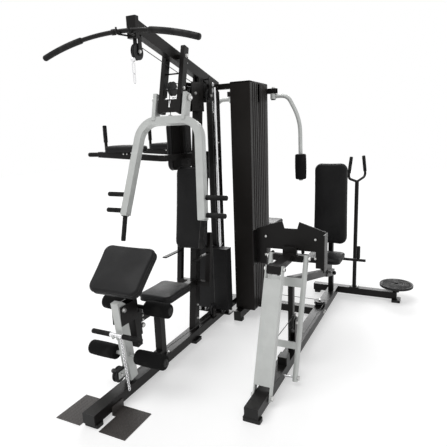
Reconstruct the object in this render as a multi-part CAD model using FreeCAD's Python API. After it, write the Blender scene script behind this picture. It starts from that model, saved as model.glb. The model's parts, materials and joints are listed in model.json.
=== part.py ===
import FreeCAD, Part
import math
import os

# Multi station home gym, in millimetres. +Z is up, the front station faces -Y and +X is its right hand.
# The origin is on the floor, under the foot of the main upright.

V = FreeCAD.Vector
RIGHT = V(1, 0, 0)
BACK = V(0, 1, 0)
UP = V(0, 0, 1)
LEFT = V(-1, 0, 0)
FRONT = V(0, -1, 0)
DOWN = V(0, 0, -1)

# ---- driving dimensions -------------------------------------------------------------------------

# Clearances
GAP = 0.3                 # soft or plain pieces that sit beside each other
RUN = 0.06                # radial play of a turning fit

# Floor frame
RAIL_W = 80
RAIL_H = 60
WALL = 3
FOOT_H = 22
FRONT_RAIL_START = -1080
CROSS_Y = 750
CROSS_W = 60
CROSS_LEFT = -240
LEG_X = 762
LEG_RAIL_START = -704
REAR_BEAM_Y = 1330
REAR_BEAM_LEFT = 580
REAR_BEAM_RIGHT = 1300
SIDE_RAIL_X = 178
SIDE_RAIL_START = 430
BACK_RAIL_END = 1480
TREAD_START = -1087
TREAD_LENGTH = 232
TREAD_W = 168
TREAD_GAP = 65
TREAD_T = 4

# Tower
UPRIGHT_W = 50
UPRIGHT_D = 60
UPRIGHT_Y = 40
UPRIGHT_HEAD_Y = 279.4
REAR_UPRIGHT_Y = 490
REAR_UPRIGHT_W = 60
REAR_UPRIGHT_D = 100
BOOM_Z = 1977
BOOM_TILT = 14.4
BOOM_W = 50
BOOM_D = 70
BOOM_FRONT = -450
BOOM_REAR = 540
BRACKET_Y = -28
BRACKET_X = 68
BRACKET_W = 30
BRACKET_D = 50
BRACKET_TOP = 58
BRACKET_LENGTH = 365
CROSS_BEAM_S = 40
CROSS_BEAM_Z = BOOM_Z - 142
CROSS_BEAM_Y = 524

# Press arm, measured down from its axle
AXLE_DROP = 273
AXLE_R = 10
PRESS_TUBE = 50
PRESS_TOP = 141
PRESS_CORNER_X = 215
PRESS_LEG_X = 295
PRESS_LEG_END = 764
PRESS_BEND_R = 130
PRESS_EYE_H = 12
PRESS_LUG_X = 112
PRESS_LUG_W = 26
PRESS_LUG_D = 60
HANDLE_DROPS = (626, 734)
HANDLE_END_X = 445
GRIP_R = 16
HANDLE_R = 12
LOWER_GRIP_LENGTH = 170

# Pulleys and cables
PULLEY_R = 45
PULLEY_W = 22
TRACK_R = 41
CABLE_R = 2.5
PIN_R = 5
PLATE_T = 4
PULLEY_SIDE = 3           # play between a pulley and its side plate
STOP_DROP = 31            # from a pulley's axle to the end of the pulling cable

# Weight stacks
STACK_Y = 382
PLATE_LONG = 280
PLATE_SHORT = 90
PLATE_H = 30
PLATE_COUNT = 16
LIFTED_COUNT = 8
BUMPER_H = 30
ROD_R = 10
ROD_SPREAD = 70
SELECTOR_R = 12
COVER_X0 = 138
COVER_X1 = 299
COVER_Y0 = 500
COVER_Y1 = 867
COVER_TOP = CROSS_BEAM_Z + 29
COVER_T = 2
SIDE_STACK_X = 200
SIDE_STACK_Y = 684

# Front seat and leg developer
SEAT_FRONT = -455
SEAT_REAR = -150
SEAT_W = 240
SEAT_TOP = 515
SEAT_T = 53
BEAM_Z = 430
SEAT_TUBE = 50
SEAT_POST_Y = -395
SLEEVE_Y = -645
SLEEVE_TILT = 5
POST_S = 45
DEV_PIVOT_Y = -774
DEV_PIVOT_Z = RAIL_H + FOOT_H + 463
DEV_TILT = 7.6
DEV_W = 50
DEV_D = 62
DEV_ABOVE = 50
DEV_CHAMFER = 26
DEV_BELOW = 452
ROLLER_R = 45
ROLLER_BAR_R = 12
UPPER_ROLLER_Y = -615
UPPER_ROLLER_Z = 505
UPPER_ROLLER_END = 235
LOWER_ROLLER_DROP = 297
LOWER_ROLLER_END = 265

# Backrest
PAD_W = 248
PAD_T = 50
BOARD_T = 12
BACKREST_Z0 = 680
BACKREST_Z1 = 1262

# Knee raise station
KNEE_Y = (-60, 490)
KNEE_Z = 1340
KNEE_X = -105
KNEE_TUBE = 40
KNEE_END = -660
KNEE_BOARD_T = 6

# Leg press
LEVER_LEAN_Y = 230
LEVER_RISE = 672
LEVER_FRONT_Y = -540
LEVER_SPACING = 255
LEVER_PIVOT_Z = 52
LEVER_W = 104
LEVER_D = 44
LADDER_X = 112
LADDER_R = 16
COLUMN_Y = 0
COLUMN_W = 32
COLUMN_D = 40
INCLINE_Z = 550
INCLINE_Y = 28
INCLINE_TILT = 14.3
INCLINE_S = 50
LEG_POST_Y = 1180
LEG_CABLE_X = 795
FOOTPLATE_W = 460
LEG_SEAT_Z = 482
LEG_SEAT_T = 50
SEAT_BAR_Y = 1120
SEAT_BAR_Z = LEG_SEAT_Z - LEG_SEAT_T - 33
SEAT_HANDLE_X = 240
LEG_SEAT_HALF = 145
LEG_BACK_HALF = 142

# Back station
BACK_X = 150
BUTTERFLY_Y = 905
BUTTERFLY_X = 185
BUTTERFLY_Z = 1768
HUB_HALF = 22
FOAM_FROM = 272
FOAM_TO = 474
BACK_SEAT_Y = 1200
BACK_SEAT_Z = 690
BACK_PAD_HALF = 98

# Twister
POST_X = 940
HORN_TURN = 27
DISC_X = 1297
DISC_R = 138
DISC_TOP = 158

# Lat bar
LAT_X = -85
LAT_Y = -520
LAT_Z = BOOM_Z + 83
LAT_HALF = 533
LAT_SAG = 85
LAT_R = 12.5
SPARE_Y = 418
SPARE_Z = BOOM_Z - 127

# Chain
CHAIN_END_X = 60
CHAIN_END_Z = 84
LINK_R = 7.5
LINK_WIRE = 2.2
LINK_PITCH = 2 * (LINK_R - LINK_WIRE) - 0.3

RAIL_TOP = FOOT_H + RAIL_H
BOOM_SLOPE = math.tan(math.radians(BOOM_TILT))
LEAN_SLOPE = (UPRIGHT_HEAD_Y - UPRIGHT_Y) / (BOOM_Z - RAIL_TOP)
UPRIGHT_LEAN = math.degrees(math.atan(LEAN_SLOPE))
INCLINE_SLOPE = math.tan(math.radians(INCLINE_TILT))
CROSS_FRONT = CROSS_Y - CROSS_W / 2
CROSS_BACK = CROSS_Y + CROSS_W / 2
STACK_BASE = RAIL_TOP + 8
STACK_TOP = STACK_BASE + BUMPER_H + PLATE_COUNT * PLATE_H
SPLIT_Z = STACK_TOP - LIFTED_COUNT * PLATE_H
UPRIGHT_LINE = V(0, math.sin(math.radians(UPRIGHT_LEAN)), math.cos(math.radians(UPRIGHT_LEAN)))
HANG = V(0, -math.sin(math.radians(BOOM_TILT)), -math.cos(math.radians(BOOM_TILT)))
AHEAD = V(0, -math.cos(math.radians(BOOM_TILT)), math.sin(math.radians(BOOM_TILT)))
ALONG_BOOM = AHEAD * -1


# ---- helpers ------------------------------------------------------------------------------------

def box(x0, x1, y0, y1, z0, z1):
    return Part.makeBox(x1 - x0, y1 - y0, z1 - z0, V(x0, y0, z0))


def rod(start, end, radius, bore=0):
    run = end - start
    bar = Part.makeCylinder(radius, run.Length, start, run)
    if bore:
        bar = bar.cut(Part.makeCylinder(bore, run.Length, start, run))
    return bar


def beam(start, end, across, width, depth, wall=WALL):
    """A rectangular tube from start to end. Its width lies along across."""
    run = end - start
    along = V(run).normalize()
    side = along.cross(across).normalize()
    tube = Part.makeBox(width, depth, run.Length, V(-width / 2, -depth / 2, 0))
    if wall:
        core = Part.makeBox(width - 2 * wall, depth - 2 * wall, run.Length,
                            V(wall - width / 2, wall - depth / 2, 0))
        tube = tube.cut(core)
    tube.Placement = FreeCAD.Placement(start, FreeCAD.Rotation(across, side, along, "ZXY"))
    return tube


def largest(shape):
    return max(shape.Solids, key=lambda solid: solid.Volume)


def trim(shape, *blocks):
    """What is left of shape on its larger side, once the blocks are taken out."""
    for block in blocks:
        shape = shape.cut(block)
    return largest(shape)


def group(*pieces):
    solids = []
    for piece in pieces:
        solids.extend(piece.Solids)
    return Part.makeCompound(solids)


def join(*pieces):
    whole = pieces[0]
    for piece in pieces[1:]:
        whole = whole.fuse(piece)
    return whole.removeSplitter()


def mirror_x(shape, about=0):
    return shape.mirror(V(about, 0, 0), RIGHT)


def rounded(shape, radius, direction=None):
    """Rounds the edges of a block: all of them, or those along one direction."""
    edges = shape.Edges
    if direction:
        edges = [edge for edge in edges if abs(edge.tangentAt(edge.FirstParameter).dot(direction)) > 0.99]
    return shape.makeFillet(radius, edges)


def bends(points, radii):
    """The two ends and the middle of the tangent arc at each corner of a route."""
    arcs = []
    for before, corner, after, radius in zip(points, points[1:], points[2:], radii):
        come = (corner - before).normalize()
        leave = (after - corner).normalize()
        turn = come.getAngle(leave)
        reach = radius * math.tan(turn / 2)
        outward = (come - leave).normalize()
        middle = corner - outward * (radius / math.cos(turn / 2) - radius)
        arcs.append((corner - come * reach, middle, corner + leave * reach))
    return arcs


def path(points, radius):
    """Straight runs through the points, with an arc of the given radius at each corner."""
    edges = []
    here = points[0]
    for first, middle, last in bends(points, [radius] * len(points)):
        edges.append(Part.LineSegment(here, first).toShape())
        edges.append(Part.Arc(first, middle, last).toShape())
        here = last
    edges.append(Part.LineSegment(here, points[-1]).toShape())
    return Part.Wire(edges)


def swept_round(points, bend, radius):
    """A round bar along straight runs with tangent arcs. The bend is one radius, or one for each corner."""
    radii = bend if isinstance(bend, list) else [bend] * (len(points) - 2)
    pieces = []
    here = points[0]
    for (first, middle, last), size, before, corner, after in zip(bends(points, radii), radii, points, points[1:],
                                                                  points[2:]):
        if (first - here).Length > 0.01:
            pieces.append(rod(here, first, radius))
        come = (corner - before).normalize()
        leave = (after - corner).normalize()
        centre = corner - (come - leave).normalize() * (size / math.cos(come.getAngle(leave) / 2))
        ring = Part.Face(Part.Wire([Part.makeCircle(radius, first, come)]))
        pieces.append(ring.revolve(centre, come.cross(leave), math.degrees(come.getAngle(leave))))
        here = last
    pieces.append(rod(here, points[-1], radius))
    return join(*pieces) if len(pieces) > 1 else pieces[0]


def turn_point(centre, come, leave):
    """Where the straight runs into and out of a pulley would meet."""
    outward = (come - leave).normalize()
    return centre + outward * (TRACK_R / math.cos(come.getAngle(leave) / 2))


def pulley(centre, axis):
    half = PULLEY_W / 2
    bore = PIN_R + RUN
    floor = TRACK_R - CABLE_R - GAP
    outline = [V(bore, 0, -half), V(PULLEY_R, 0, -half), V(PULLEY_R, 0, 3 - half), V(floor, 0, -CABLE_R - 1),
               V(floor, 0, CABLE_R + 1), V(PULLEY_R, 0, half - 3), V(PULLEY_R, 0, half), V(bore, 0, half)]
    face = Part.Face(Part.makePolygon(outline + [outline[0]]))
    wheel = face.revolve(V(0, 0, 0), UP, 360)
    wheel.Placement = FreeCAD.Placement(centre, FreeCAD.Rotation(UP, axis))
    return wheel


def pulley_pin(centre, axis, half_length=PULLEY_W / 2 + PULLEY_SIDE + PLATE_T + 6):
    return rod(centre - axis * half_length, centre + axis * half_length, PIN_R)


def side_plates(centre, low, high):
    """Two upright plates that straddle a pulley whose axle runs along X."""
    inner = PULLEY_W / 2 + PULLEY_SIDE
    plates = []
    for near in (centre.x + inner, centre.x - inner - PLATE_T):
        plates.append(box(near, near + PLATE_T, low[0], high[0], low[1], high[1]))
    return plates


def upright_centre(z):
    return UPRIGHT_Y + (z - RAIL_TOP) * LEAN_SLOPE


def boom_axis(y):
    return V(0, y, BOOM_Z - y * BOOM_SLOPE)


def on_bracket(x, drop, ahead=0):
    return boom_axis(BRACKET_Y) + HANG * drop + AHEAD * ahead + V(x, 0, 0)


def incline_axis(y, x=LEG_X):
    return V(x, y, INCLINE_Z - (y - INCLINE_Y) * INCLINE_SLOPE)


# ---- pulley centres and cable routes ------------------------------------------------------------

PULLEY_DROP = 129
FRONT_PULLEY = boom_axis(-434) - UP * PULLEY_DROP
STACK_PULLEY = boom_axis(STACK_Y - TRACK_R) - UP * PULLEY_DROP
LOW_STACK_X = 44          # the low cable rises beside the lat cable
SECOND_PULLEY = V(LOW_STACK_X, STACK_PULLEY.y, STACK_PULLEY.z)
MID_PULLEY = on_bracket(0, 207)
GUSSET_PULLEY = V(0, 165, BOOM_Z - 207)
RAIL_PULLEY = V(LOW_STACK_X, STACK_PULLEY.y - 2 * TRACK_R, RAIL_TOP + 68)
DEV_PULLEY = V(0, -822, 172)
SIDE_TOP_R = 80
SIDE_CABLE_Y = SIDE_STACK_Y + 2 * SIDE_TOP_R
SIDE_TOP_PULLEY = V(SIDE_STACK_X, SIDE_STACK_Y + SIDE_TOP_R, 1716)
FLOOR_CABLE_Z = RAIL_TOP + 26
SIDE_LOW_PULLEY = V(SIDE_STACK_X + TRACK_R, SIDE_CABLE_Y, FLOOR_CABLE_Z + TRACK_R)
CORNER_PULLEY = V(LEG_CABLE_X - TRACK_R, SIDE_CABLE_Y - TRACK_R, FLOOR_CABLE_Z)
LEG_LOW_PULLEY = V(LEG_CABLE_X, 17, FLOOR_CABLE_Z + TRACK_R)
LEG_MID_PULLEY = V(LEG_CABLE_X, LEG_LOW_PULLEY.y - 2 * TRACK_R, 300)


def cable(points):
    return swept_round(points, TRACK_R, CABLE_R)


def tower_cables():
    over = [turn_point(FRONT_PULLEY, UP, ALONG_BOOM), turn_point(STACK_PULLEY, ALONG_BOOM, DOWN)]
    start = FRONT_PULLEY - V(0, TRACK_R, STOP_DROP)
    end = STACK_PULLEY + V(0, TRACK_R, -1)
    high = cable([start] + over + [end])

    rise = V(GUSSET_PULLEY - MID_PULLEY).normalize()
    arm_end = V(0, MID_PULLEY.y - TRACK_R, press_eye_height() + GAP)
    drop_end = GUSSET_PULLEY + V(0, TRACK_R, -90)
    press = cable([arm_end, turn_point(MID_PULLEY, UP, rise), turn_point(GUSSET_PULLEY, rise, DOWN), drop_end])

    low = cable([low_cable_start(), turn_point(RAIL_PULLEY, low_run(), UP), turn_point(SECOND_PULLEY, UP, BACK),
                 turn_point(SECOND_PULLEY, BACK, DOWN), SECOND_PULLEY + V(0, TRACK_R, -1)])
    return group(high, press, low)


def front_stack_run():
    """The runs above the front stack: they shorten as the stack rises."""
    runs = []
    for x, low in ((0, STACK_TOP + 30 + GAP), (LOW_STACK_X, STACK_TOP + 16 + GAP)):
        runs.append(rod(V(x, STACK_Y, low), V(x, STACK_Y, STACK_PULLEY.z - 1 - GAP), CABLE_R))
    return group(*runs)


def press_eye_height():
    """Height of the press arm's sloping eye, under the front side of the press cable."""
    top = on_arm(0, PRESS_TOP - PRESS_TUBE / 2 - PRESS_EYE_H)
    return top.z + (top.y - (MID_PULLEY.y - TRACK_R - CABLE_R)) * BOOM_SLOPE


def low_cable_start():
    return V(0, dev_axis(DEV_PIVOT_Z - 123).y + DEV_D / 2 + 12, RAIL_PULLEY.z - TRACK_R)


def low_run():
    start = low_cable_start()
    return (V(RAIL_PULLEY.x, RAIL_PULLEY.y, start.z) - start).normalize()


def rail_pulley_axis():
    return low_run().cross(UP)


def low_cable_hole():
    start = low_cable_start()
    return rod(start + low_run() * 120, start + low_run() * 320, 8)


def leg_press_cable():
    """From the side stack over the top wheel, down, along the floor and up to the front lever."""
    corner = V(CORNER_PULLEY.x + TRACK_R, CORNER_PULLEY.y + TRACK_R, FLOOR_CABLE_Z)
    top = SIDE_TOP_PULLEY.z + SIDE_TOP_R
    lever_end = V(LEG_CABLE_X, lever_point(341).y + 38 + GAP, LEG_MID_PULLEY.z + TRACK_R)
    route = [V(SIDE_STACK_X, SIDE_STACK_Y, SIDE_TOP_PULLEY.z - 2), V(SIDE_STACK_X, SIDE_STACK_Y, top),
             V(SIDE_STACK_X, SIDE_CABLE_Y, top), turn_point(SIDE_LOW_PULLEY, DOWN, RIGHT), corner,
             turn_point(LEG_LOW_PULLEY, FRONT, UP), turn_point(LEG_MID_PULLEY, UP, FRONT), lever_end]
    return swept_round(route, [SIDE_TOP_R, SIDE_TOP_R] + [TRACK_R] * 4, CABLE_R)


def side_stack_run():
    top = V(SIDE_STACK_X, SIDE_STACK_Y, SIDE_TOP_PULLEY.z - 2 - GAP)
    return rod(V(SIDE_STACK_X, SIDE_STACK_Y, STACK_TOP + 30 + GAP), top, CABLE_R)


# ---- floor frame --------------------------------------------------------------------------------

def rail(start, end, width=RAIL_W):
    run = end - start
    across = RIGHT if abs(run.y) > abs(run.x) else BACK
    return beam(start, end, across, width, RAIL_H)


RAIL_MID = FOOT_H + RAIL_H / 2


def front_base_rail():
    return rail(V(0, FRONT_RAIL_START, RAIL_MID), V(0, CROSS_FRONT, RAIL_MID))


def base_rails():
    cross = rail(V(CROSS_LEFT, CROSS_Y, RAIL_MID), V(LEG_X - RAIL_W / 2, CROSS_Y, RAIL_MID), CROSS_W)
    side = rail(V(SIDE_RAIL_X, SIDE_RAIL_START, RAIL_MID), V(SIDE_RAIL_X, CROSS_FRONT, RAIL_MID), CROSS_W)
    back = rail(V(BACK_X, CROSS_BACK, RAIL_MID), V(BACK_X, BACK_RAIL_END, RAIL_MID), CROSS_W)
    tube = rail(V(LEG_X, LEG_RAIL_START, RAIL_MID), V(LEG_X, REAR_BEAM_Y - CROSS_W / 2, RAIL_MID))
    leg = tube.cut(group(*[lever_axle(y) for y in lever_feet()]))
    return group(front_base_rail(), cross, side, back, leg)


def rear_beam():
    tube = rail(V(REAR_BEAM_LEFT, REAR_BEAM_Y, RAIL_MID), V(REAR_BEAM_RIGHT, REAR_BEAM_Y, RAIL_MID), CROSS_W)
    return join(tube, twister_hub())


def handle_post():
    top = V(POST_X, REAR_BEAM_Y, 1050)
    post = rod(V(POST_X, REAR_BEAM_Y, RAIL_TOP + 6), top, 17, 14.5)
    flange = box(POST_X - 40, POST_X + 40, REAR_BEAM_Y - 30, REAR_BEAM_Y + 30, RAIL_TOP, RAIL_TOP + 6)
    along = V(math.sin(math.radians(HORN_TURN)), math.cos(math.radians(HORN_TURN)), 0)
    horn = [top - along * 85 + UP * 205, top - along * 120 + UP * 30, top - UP * 8,
            top + along * 120 + UP * 30, top + along * 85 + UP * 205]
    bar = swept_round(horn, 38, 11)
    return join(post, flange, bar)


def foot_plates():
    end = TREAD_START + TREAD_LENGTH
    half = RAIL_W / 2
    plate = box(TREAD_GAP, TREAD_GAP + TREAD_W, TREAD_START, end, 0, TREAD_T)
    tab = box(half + 6, TREAD_GAP, end - 95, end, 0, TREAD_T)
    lug = box(half, half + 6, end - 95, end, 0, FOOT_H + RAIL_H / 2)
    right = join(plate, tab, lug)
    return group(right, mirror_x(right))


def feet_and_end_caps():
    cap_t = 4
    half = RAIL_W / 2
    shoes = [(-46, 46, -1072, -1022), (-60, 60, -45, 45), (-46, 46, 570, 620),
             (CROSS_LEFT + 6, CROSS_LEFT + 66, CROSS_Y - 36, CROSS_Y + 36),
             (SIDE_RAIL_X - 36, SIDE_RAIL_X + 36, SIDE_RAIL_START + 4, SIDE_RAIL_START + 54),
             (BACK_X - 45, BACK_X + 45, BACK_RAIL_END - 60, BACK_RAIL_END - 6),
             (LEG_X - 50, LEG_X + 50, LEG_RAIL_START - 6, LEG_RAIL_START + 40),
             (REAR_BEAM_LEFT + 6, REAR_BEAM_LEFT + 56, REAR_BEAM_Y - 36, REAR_BEAM_Y + 36),
             (REAR_BEAM_RIGHT - 34, REAR_BEAM_RIGHT + 36, REAR_BEAM_Y - 60, REAR_BEAM_Y + 40)]
    pieces = [rounded(box(x0, x1, y0, y1, 0, FOOT_H), 8, UP) for x0, x1, y0, y1 in shoes]
    pieces.append(box(-half, half, FRONT_RAIL_START - cap_t, FRONT_RAIL_START, FOOT_H, RAIL_TOP))
    pieces.append(box(CROSS_LEFT - cap_t, CROSS_LEFT, CROSS_Y - 30, CROSS_Y + 30, FOOT_H, RAIL_TOP))
    pieces.append(box(SIDE_RAIL_X - 30, SIDE_RAIL_X + 30, SIDE_RAIL_START - cap_t, SIDE_RAIL_START,
                      FOOT_H, RAIL_TOP))
    pieces.append(box(BACK_X - 30, BACK_X + 30, BACK_RAIL_END, BACK_RAIL_END + cap_t, FOOT_H, RAIL_TOP))
    pieces.append(box(LEG_X - half, LEG_X + half, LEG_RAIL_START - cap_t, LEG_RAIL_START, FOOT_H, RAIL_TOP))
    for x in (REAR_BEAM_LEFT - cap_t, REAR_BEAM_RIGHT):
        pieces.append(box(x, x + cap_t, REAR_BEAM_Y - 30, REAR_BEAM_Y + 30, FOOT_H, RAIL_TOP))
    return group(*pieces)


# ---- tower --------------------------------------------------------------------------------------

def boom_block():
    return beam(boom_axis(BOOM_FRONT), boom_axis(BOOM_REAR), RIGHT, BOOM_W, BOOM_D, 0)


def bracket_bolt():
    return rod(on_bracket(-BRACKET_X - 24, 0), on_bracket(BRACKET_X + 24, 0), 6)


def lat_rest(x):
    """Height of the hook wire that holds the curved lat bar at x."""
    bow = (LAT_HALF ** 2 + LAT_SAG ** 2) / (2 * LAT_SAG)
    return LAT_Z - (x - LAT_X) ** 2 / (2 * bow) - LAT_R - 5 - GAP


def top_boom():
    tube = beam(boom_axis(BOOM_FRONT), boom_axis(BOOM_REAR), RIGHT, BOOM_W, BOOM_D)
    nose = boom_axis(BOOM_FRONT)
    plate_face = nose.y + BOOM_D / 2 * math.sin(math.radians(BOOM_TILT))
    low_hook = lat_rest(42)
    plate = box(-30, 30, nose.y - 24, plate_face, low_hook - 10, nose.z + 52)
    pieces = [tube, trim(plate, boom_block())]
    for x in (-42, 42):
        rest_z = lat_rest(x)
        hook = swept_round([V(x * 0.5, nose.y - 20, rest_z), V(x, LAT_Y - 26, rest_z),
                            V(x, LAT_Y - 34, rest_z + 34)], 12, 5)
        pieces.append(hook)
    return join(*pieces).cut(bracket_bolt())


def main_upright():
    top_z = BOOM_Z
    foot = V(0, UPRIGHT_Y, RAIL_TOP) - UPRIGHT_LINE * 20
    head = V(0, upright_centre(top_z), top_z)
    tube = beam(foot, head, RIGHT, UPRIGHT_W, UPRIGHT_D)
    floor_block = box(-60, 60, -200, 200, 0, RAIL_TOP)
    above = beam(boom_axis(BOOM_FRONT) + UP * 200, boom_axis(BOOM_REAR) + UP * 200, RIGHT, 300, 400, 0)
    tube = trim(tube, floor_block, boom_block(), above)
    slot = box(-8, 8, 150, 350, BOOM_Z - 187, BOOM_Z - 77)
    return tube.cut(slot)


def backrest_supports():
    """Side arms from the main upright that carry the backrest board and the two hand bars."""
    pieces = []
    for side in (-1, 1):
        x0 = side * UPRIGHT_W / 2
        x1 = side * 136
        y = upright_centre(BEAM_Z)
        stub = box(min(x0, x1), max(x0, x1), y - 30, y + 6, BEAM_Z - 18, BEAM_Z + 18)
        base = V(side * 118, y, BEAM_Z) + UPRIGHT_LINE * 18
        post = beam(V(side * 118, upright_centre(BEAM_Z) - 12, BEAM_Z), V(side * 118, upright_centre(800) - 12, 800),
                    RIGHT, 36, 36)
        bar_y = upright_centre(660) - 29
        bar = box(side * 118 - 15, side * 118 + 15, -120, bar_y, 652, 660)
        pieces.append(join(stub, trim(post, box(-200, 200, base.y - 80, base.y + 80, 0, BEAM_Z + 18)), bar))
    return group(*pieces, backrest_board())


def rear_upright():
    tube = beam(V(0, REAR_UPRIGHT_Y, RAIL_TOP), V(0, REAR_UPRIGHT_Y, BOOM_Z), RIGHT,
                REAR_UPRIGHT_W, REAR_UPRIGHT_D)
    above = beam(boom_axis(BOOM_FRONT), boom_axis(BOOM_REAR + 100), RIGHT, 300, BOOM_D, 0)
    return min([s for s in tube.cut(above).Solids], key=lambda s: s.CenterOfMass.z)


def top_cross_beam():
    half = CROSS_BEAM_S / 2
    z0 = CROSS_BEAM_Z - half
    side_x = SIDE_STACK_X
    cross = beam(V(BOOM_W / 2, CROSS_BEAM_Y, CROSS_BEAM_Z), V(side_x - half, CROSS_BEAM_Y, CROSS_BEAM_Z),
                 BACK, CROSS_BEAM_S, CROSS_BEAM_S)
    along = beam(V(side_x, CROSS_BEAM_Y - half, CROSS_BEAM_Z), V(side_x, COVER_Y1 - COVER_T - GAP, CROSS_BEAM_Z),
                 RIGHT, CROSS_BEAM_S, CROSS_BEAM_S)
    plate_x = SIDE_STACK_X
    hang = []
    inner = PULLEY_W / 2 + PULLEY_SIDE
    for near in (plate_x + inner, plate_x - inner - PLATE_T):
        hang.append(box(near, near + PLATE_T, SIDE_STACK_Y - 90, SIDE_CABLE_Y + 8, 1596, z0))
    pin = pulley_pin(SIDE_TOP_PULLEY, RIGHT)
    rods_plate = box(plate_x - 32, plate_x + 32, SIDE_STACK_Y - 90, SIDE_STACK_Y + 90, 1588, 1596)
    rods_plate = rods_plate.cut(box(plate_x - 8, plate_x + 8, SIDE_STACK_Y - 8, SIDE_STACK_Y + 8, 1500, 1700))
    return join(cross, along, rods_plate, *hang).cut(pin)


def side_top_pulley():
    half = PULLEY_W / 2
    rim = SIDE_TOP_R - CABLE_R - GAP
    wheel = Part.makeCylinder(SIDE_TOP_R + 4, PULLEY_W, V(0, 0, -half))
    groove = Part.makeCylinder(SIDE_TOP_R + 10, 2 * CABLE_R + 2, V(0, 0, -CABLE_R - 1))
    groove = groove.cut(Part.makeCylinder(rim, PULLEY_W, V(0, 0, -half)))
    wheel = wheel.cut(groove).cut(Part.makeCylinder(PIN_R + RUN, PULLEY_W, V(0, 0, -half)))
    wheel.Placement = FreeCAD.Placement(SIDE_TOP_PULLEY, FreeCAD.Rotation(UP, RIGHT))
    return wheel


def press_axle():
    return rod(on_bracket(-148, AXLE_DROP), on_bracket(148, AXLE_DROP), AXLE_R)


def boom_bracket():
    pieces = []
    for side in (-1, 1):
        x = side * BRACKET_X
        bar = beam(on_bracket(x, -BRACKET_TOP), on_bracket(x, BRACKET_LENGTH), RIGHT, BRACKET_W, BRACKET_D)
        pieces.append(bar)
        inner = side * BOOM_W / 2
        outer = side * (BRACKET_X - BRACKET_W / 2)
        pieces.append(rod(on_bracket(inner, 0), on_bracket(outer, 0), 15))
    half = BRACKET_X - BRACKET_W / 2
    plate_mid = (AXLE_DROP + 12 + BRACKET_LENGTH) / 2
    plate = beam(on_bracket(-half, plate_mid, 21), on_bracket(half, plate_mid, 21), HANG,
                 BRACKET_LENGTH - AXLE_DROP - 12, 8, 0)
    notch = beam(on_bracket(0, AXLE_DROP, 21), on_bracket(0, AXLE_DROP + 60, 21), RIGHT, 18, 20, 0)
    pieces.append(plate.cut(notch))
    pieces.append(rod(on_bracket(-half, 110), on_bracket(half, 110), 5))
    bracket = join(*pieces)
    pin = rod(on_bracket(-BRACKET_X - 20, 207), on_bracket(BRACKET_X + 20, 207), PIN_R)
    return bracket.cut(group(bracket_bolt(), press_axle(), pin))


def pulley_brackets():
    """Side plates of the pulleys, welded or bolted to the frame."""
    pieces = []
    under_front = boom_axis(FRONT_PULLEY.y)
    blocks = boom_block()
    for plate in side_plates(FRONT_PULLEY, (FRONT_PULLEY.y - 7, FRONT_PULLEY.z - 18),
                             (FRONT_PULLEY.y + 26, under_front.z)):
        pieces.append(trim(plate, blocks))
    inner = PULLEY_W / 2 + PULLEY_SIDE
    stack_low = (STACK_PULLEY.y - 28, STACK_PULLEY.z - 20)
    stack_high = (STACK_PULLEY.y + 16, boom_axis(STACK_PULLEY.y).z)
    middle = inner + PLATE_T / 2
    for x in (-middle, middle, LOW_STACK_X + middle):
        plate = box(x - PLATE_T / 2, x + PLATE_T / 2, stack_low[0], stack_high[0], stack_low[1], stack_high[1])
        if x > BOOM_W / 2:
            web_z = boom_axis(STACK_PULLEY.y).z - 12
            web = box(BOOM_W / 2, x + PLATE_T / 2, stack_low[0], stack_high[0], web_z - 4, web_z)
            plate = join(plate, web)
        pieces.append(trim(plate, blocks))
    upright = beam(V(0, UPRIGHT_Y, RAIL_TOP), V(0, upright_centre(BOOM_Z), BOOM_Z), RIGHT,
                   UPRIGHT_W, UPRIGHT_D, 0)
    for side in (-1, 1):
        x0 = side * UPRIGHT_W / 2
        x1 = side * (UPRIGHT_W / 2 + PLATE_T)
        gusset = box(min(x0, x1), max(x0, x1), 118, 285, BOOM_Z - 327, BOOM_Z - 132)
        for index in range(3):
            hole = V(0, 222, BOOM_Z - 297 + 45 * index)
            gusset = gusset.cut(rod(hole + LEFT * 90, hole + RIGHT * 90, 7))
        pieces.append(trim(gusset, upright))
    anchor = GUSSET_PULLEY + V(0, TRACK_R, -90 - GAP)
    pieces.append(trim(box(-9, 9, anchor.y - 9, anchor.y + 30, anchor.z - 18, anchor.z), upright))
    sole_z = RAIL_TOP + 6
    pieces.append(box(0, RAIL_PULLEY.x + 24, RAIL_PULLEY.y - 26, RAIL_PULLEY.y + 26, RAIL_TOP, sole_z))
    pieces += side_plates(RAIL_PULLEY, (RAIL_PULLEY.y - 22, sole_z), (RAIL_PULLEY.y + 22, RAIL_PULLEY.z + 18))
    low_top = LEG_MID_PULLEY.z + 22
    leg_plate_x = LEG_X + COLUMN_W / 2
    near = box(leg_plate_x, LEG_CABLE_X - inner, LEG_MID_PULLEY.y - 20, LEG_LOW_PULLEY.y + 20,
               LEG_LOW_PULLEY.z - 18, low_top)
    far = box(LEG_CABLE_X + inner, LEG_CABLE_X + inner + PLATE_T, LEG_MID_PULLEY.y - 20, LEG_LOW_PULLEY.y + 20,
              LEG_LOW_PULLEY.z - 18, low_top)
    pieces += [near, far]
    deck_z = FLOOR_CABLE_Z - PULLEY_W / 2 - PULLEY_SIDE
    base = box(LEG_X - RAIL_W / 2, LEG_X + RAIL_W / 2, CORNER_PULLEY.y - 26, CORNER_PULLEY.y + 26,
               RAIL_TOP, deck_z)
    pieces.append(base)
    side_inner = PULLEY_W / 2 + PULLEY_SIDE
    for y in (SIDE_LOW_PULLEY.y + side_inner, SIDE_LOW_PULLEY.y - side_inner - PLATE_T):
        pieces.append(box(SIDE_LOW_PULLEY.x - 16, SIDE_LOW_PULLEY.x + 22, y, y + PLATE_T,
                          STACK_BASE, SIDE_LOW_PULLEY.z + 16))
    return group(*pieces).cut(group(*pins()))


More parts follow.
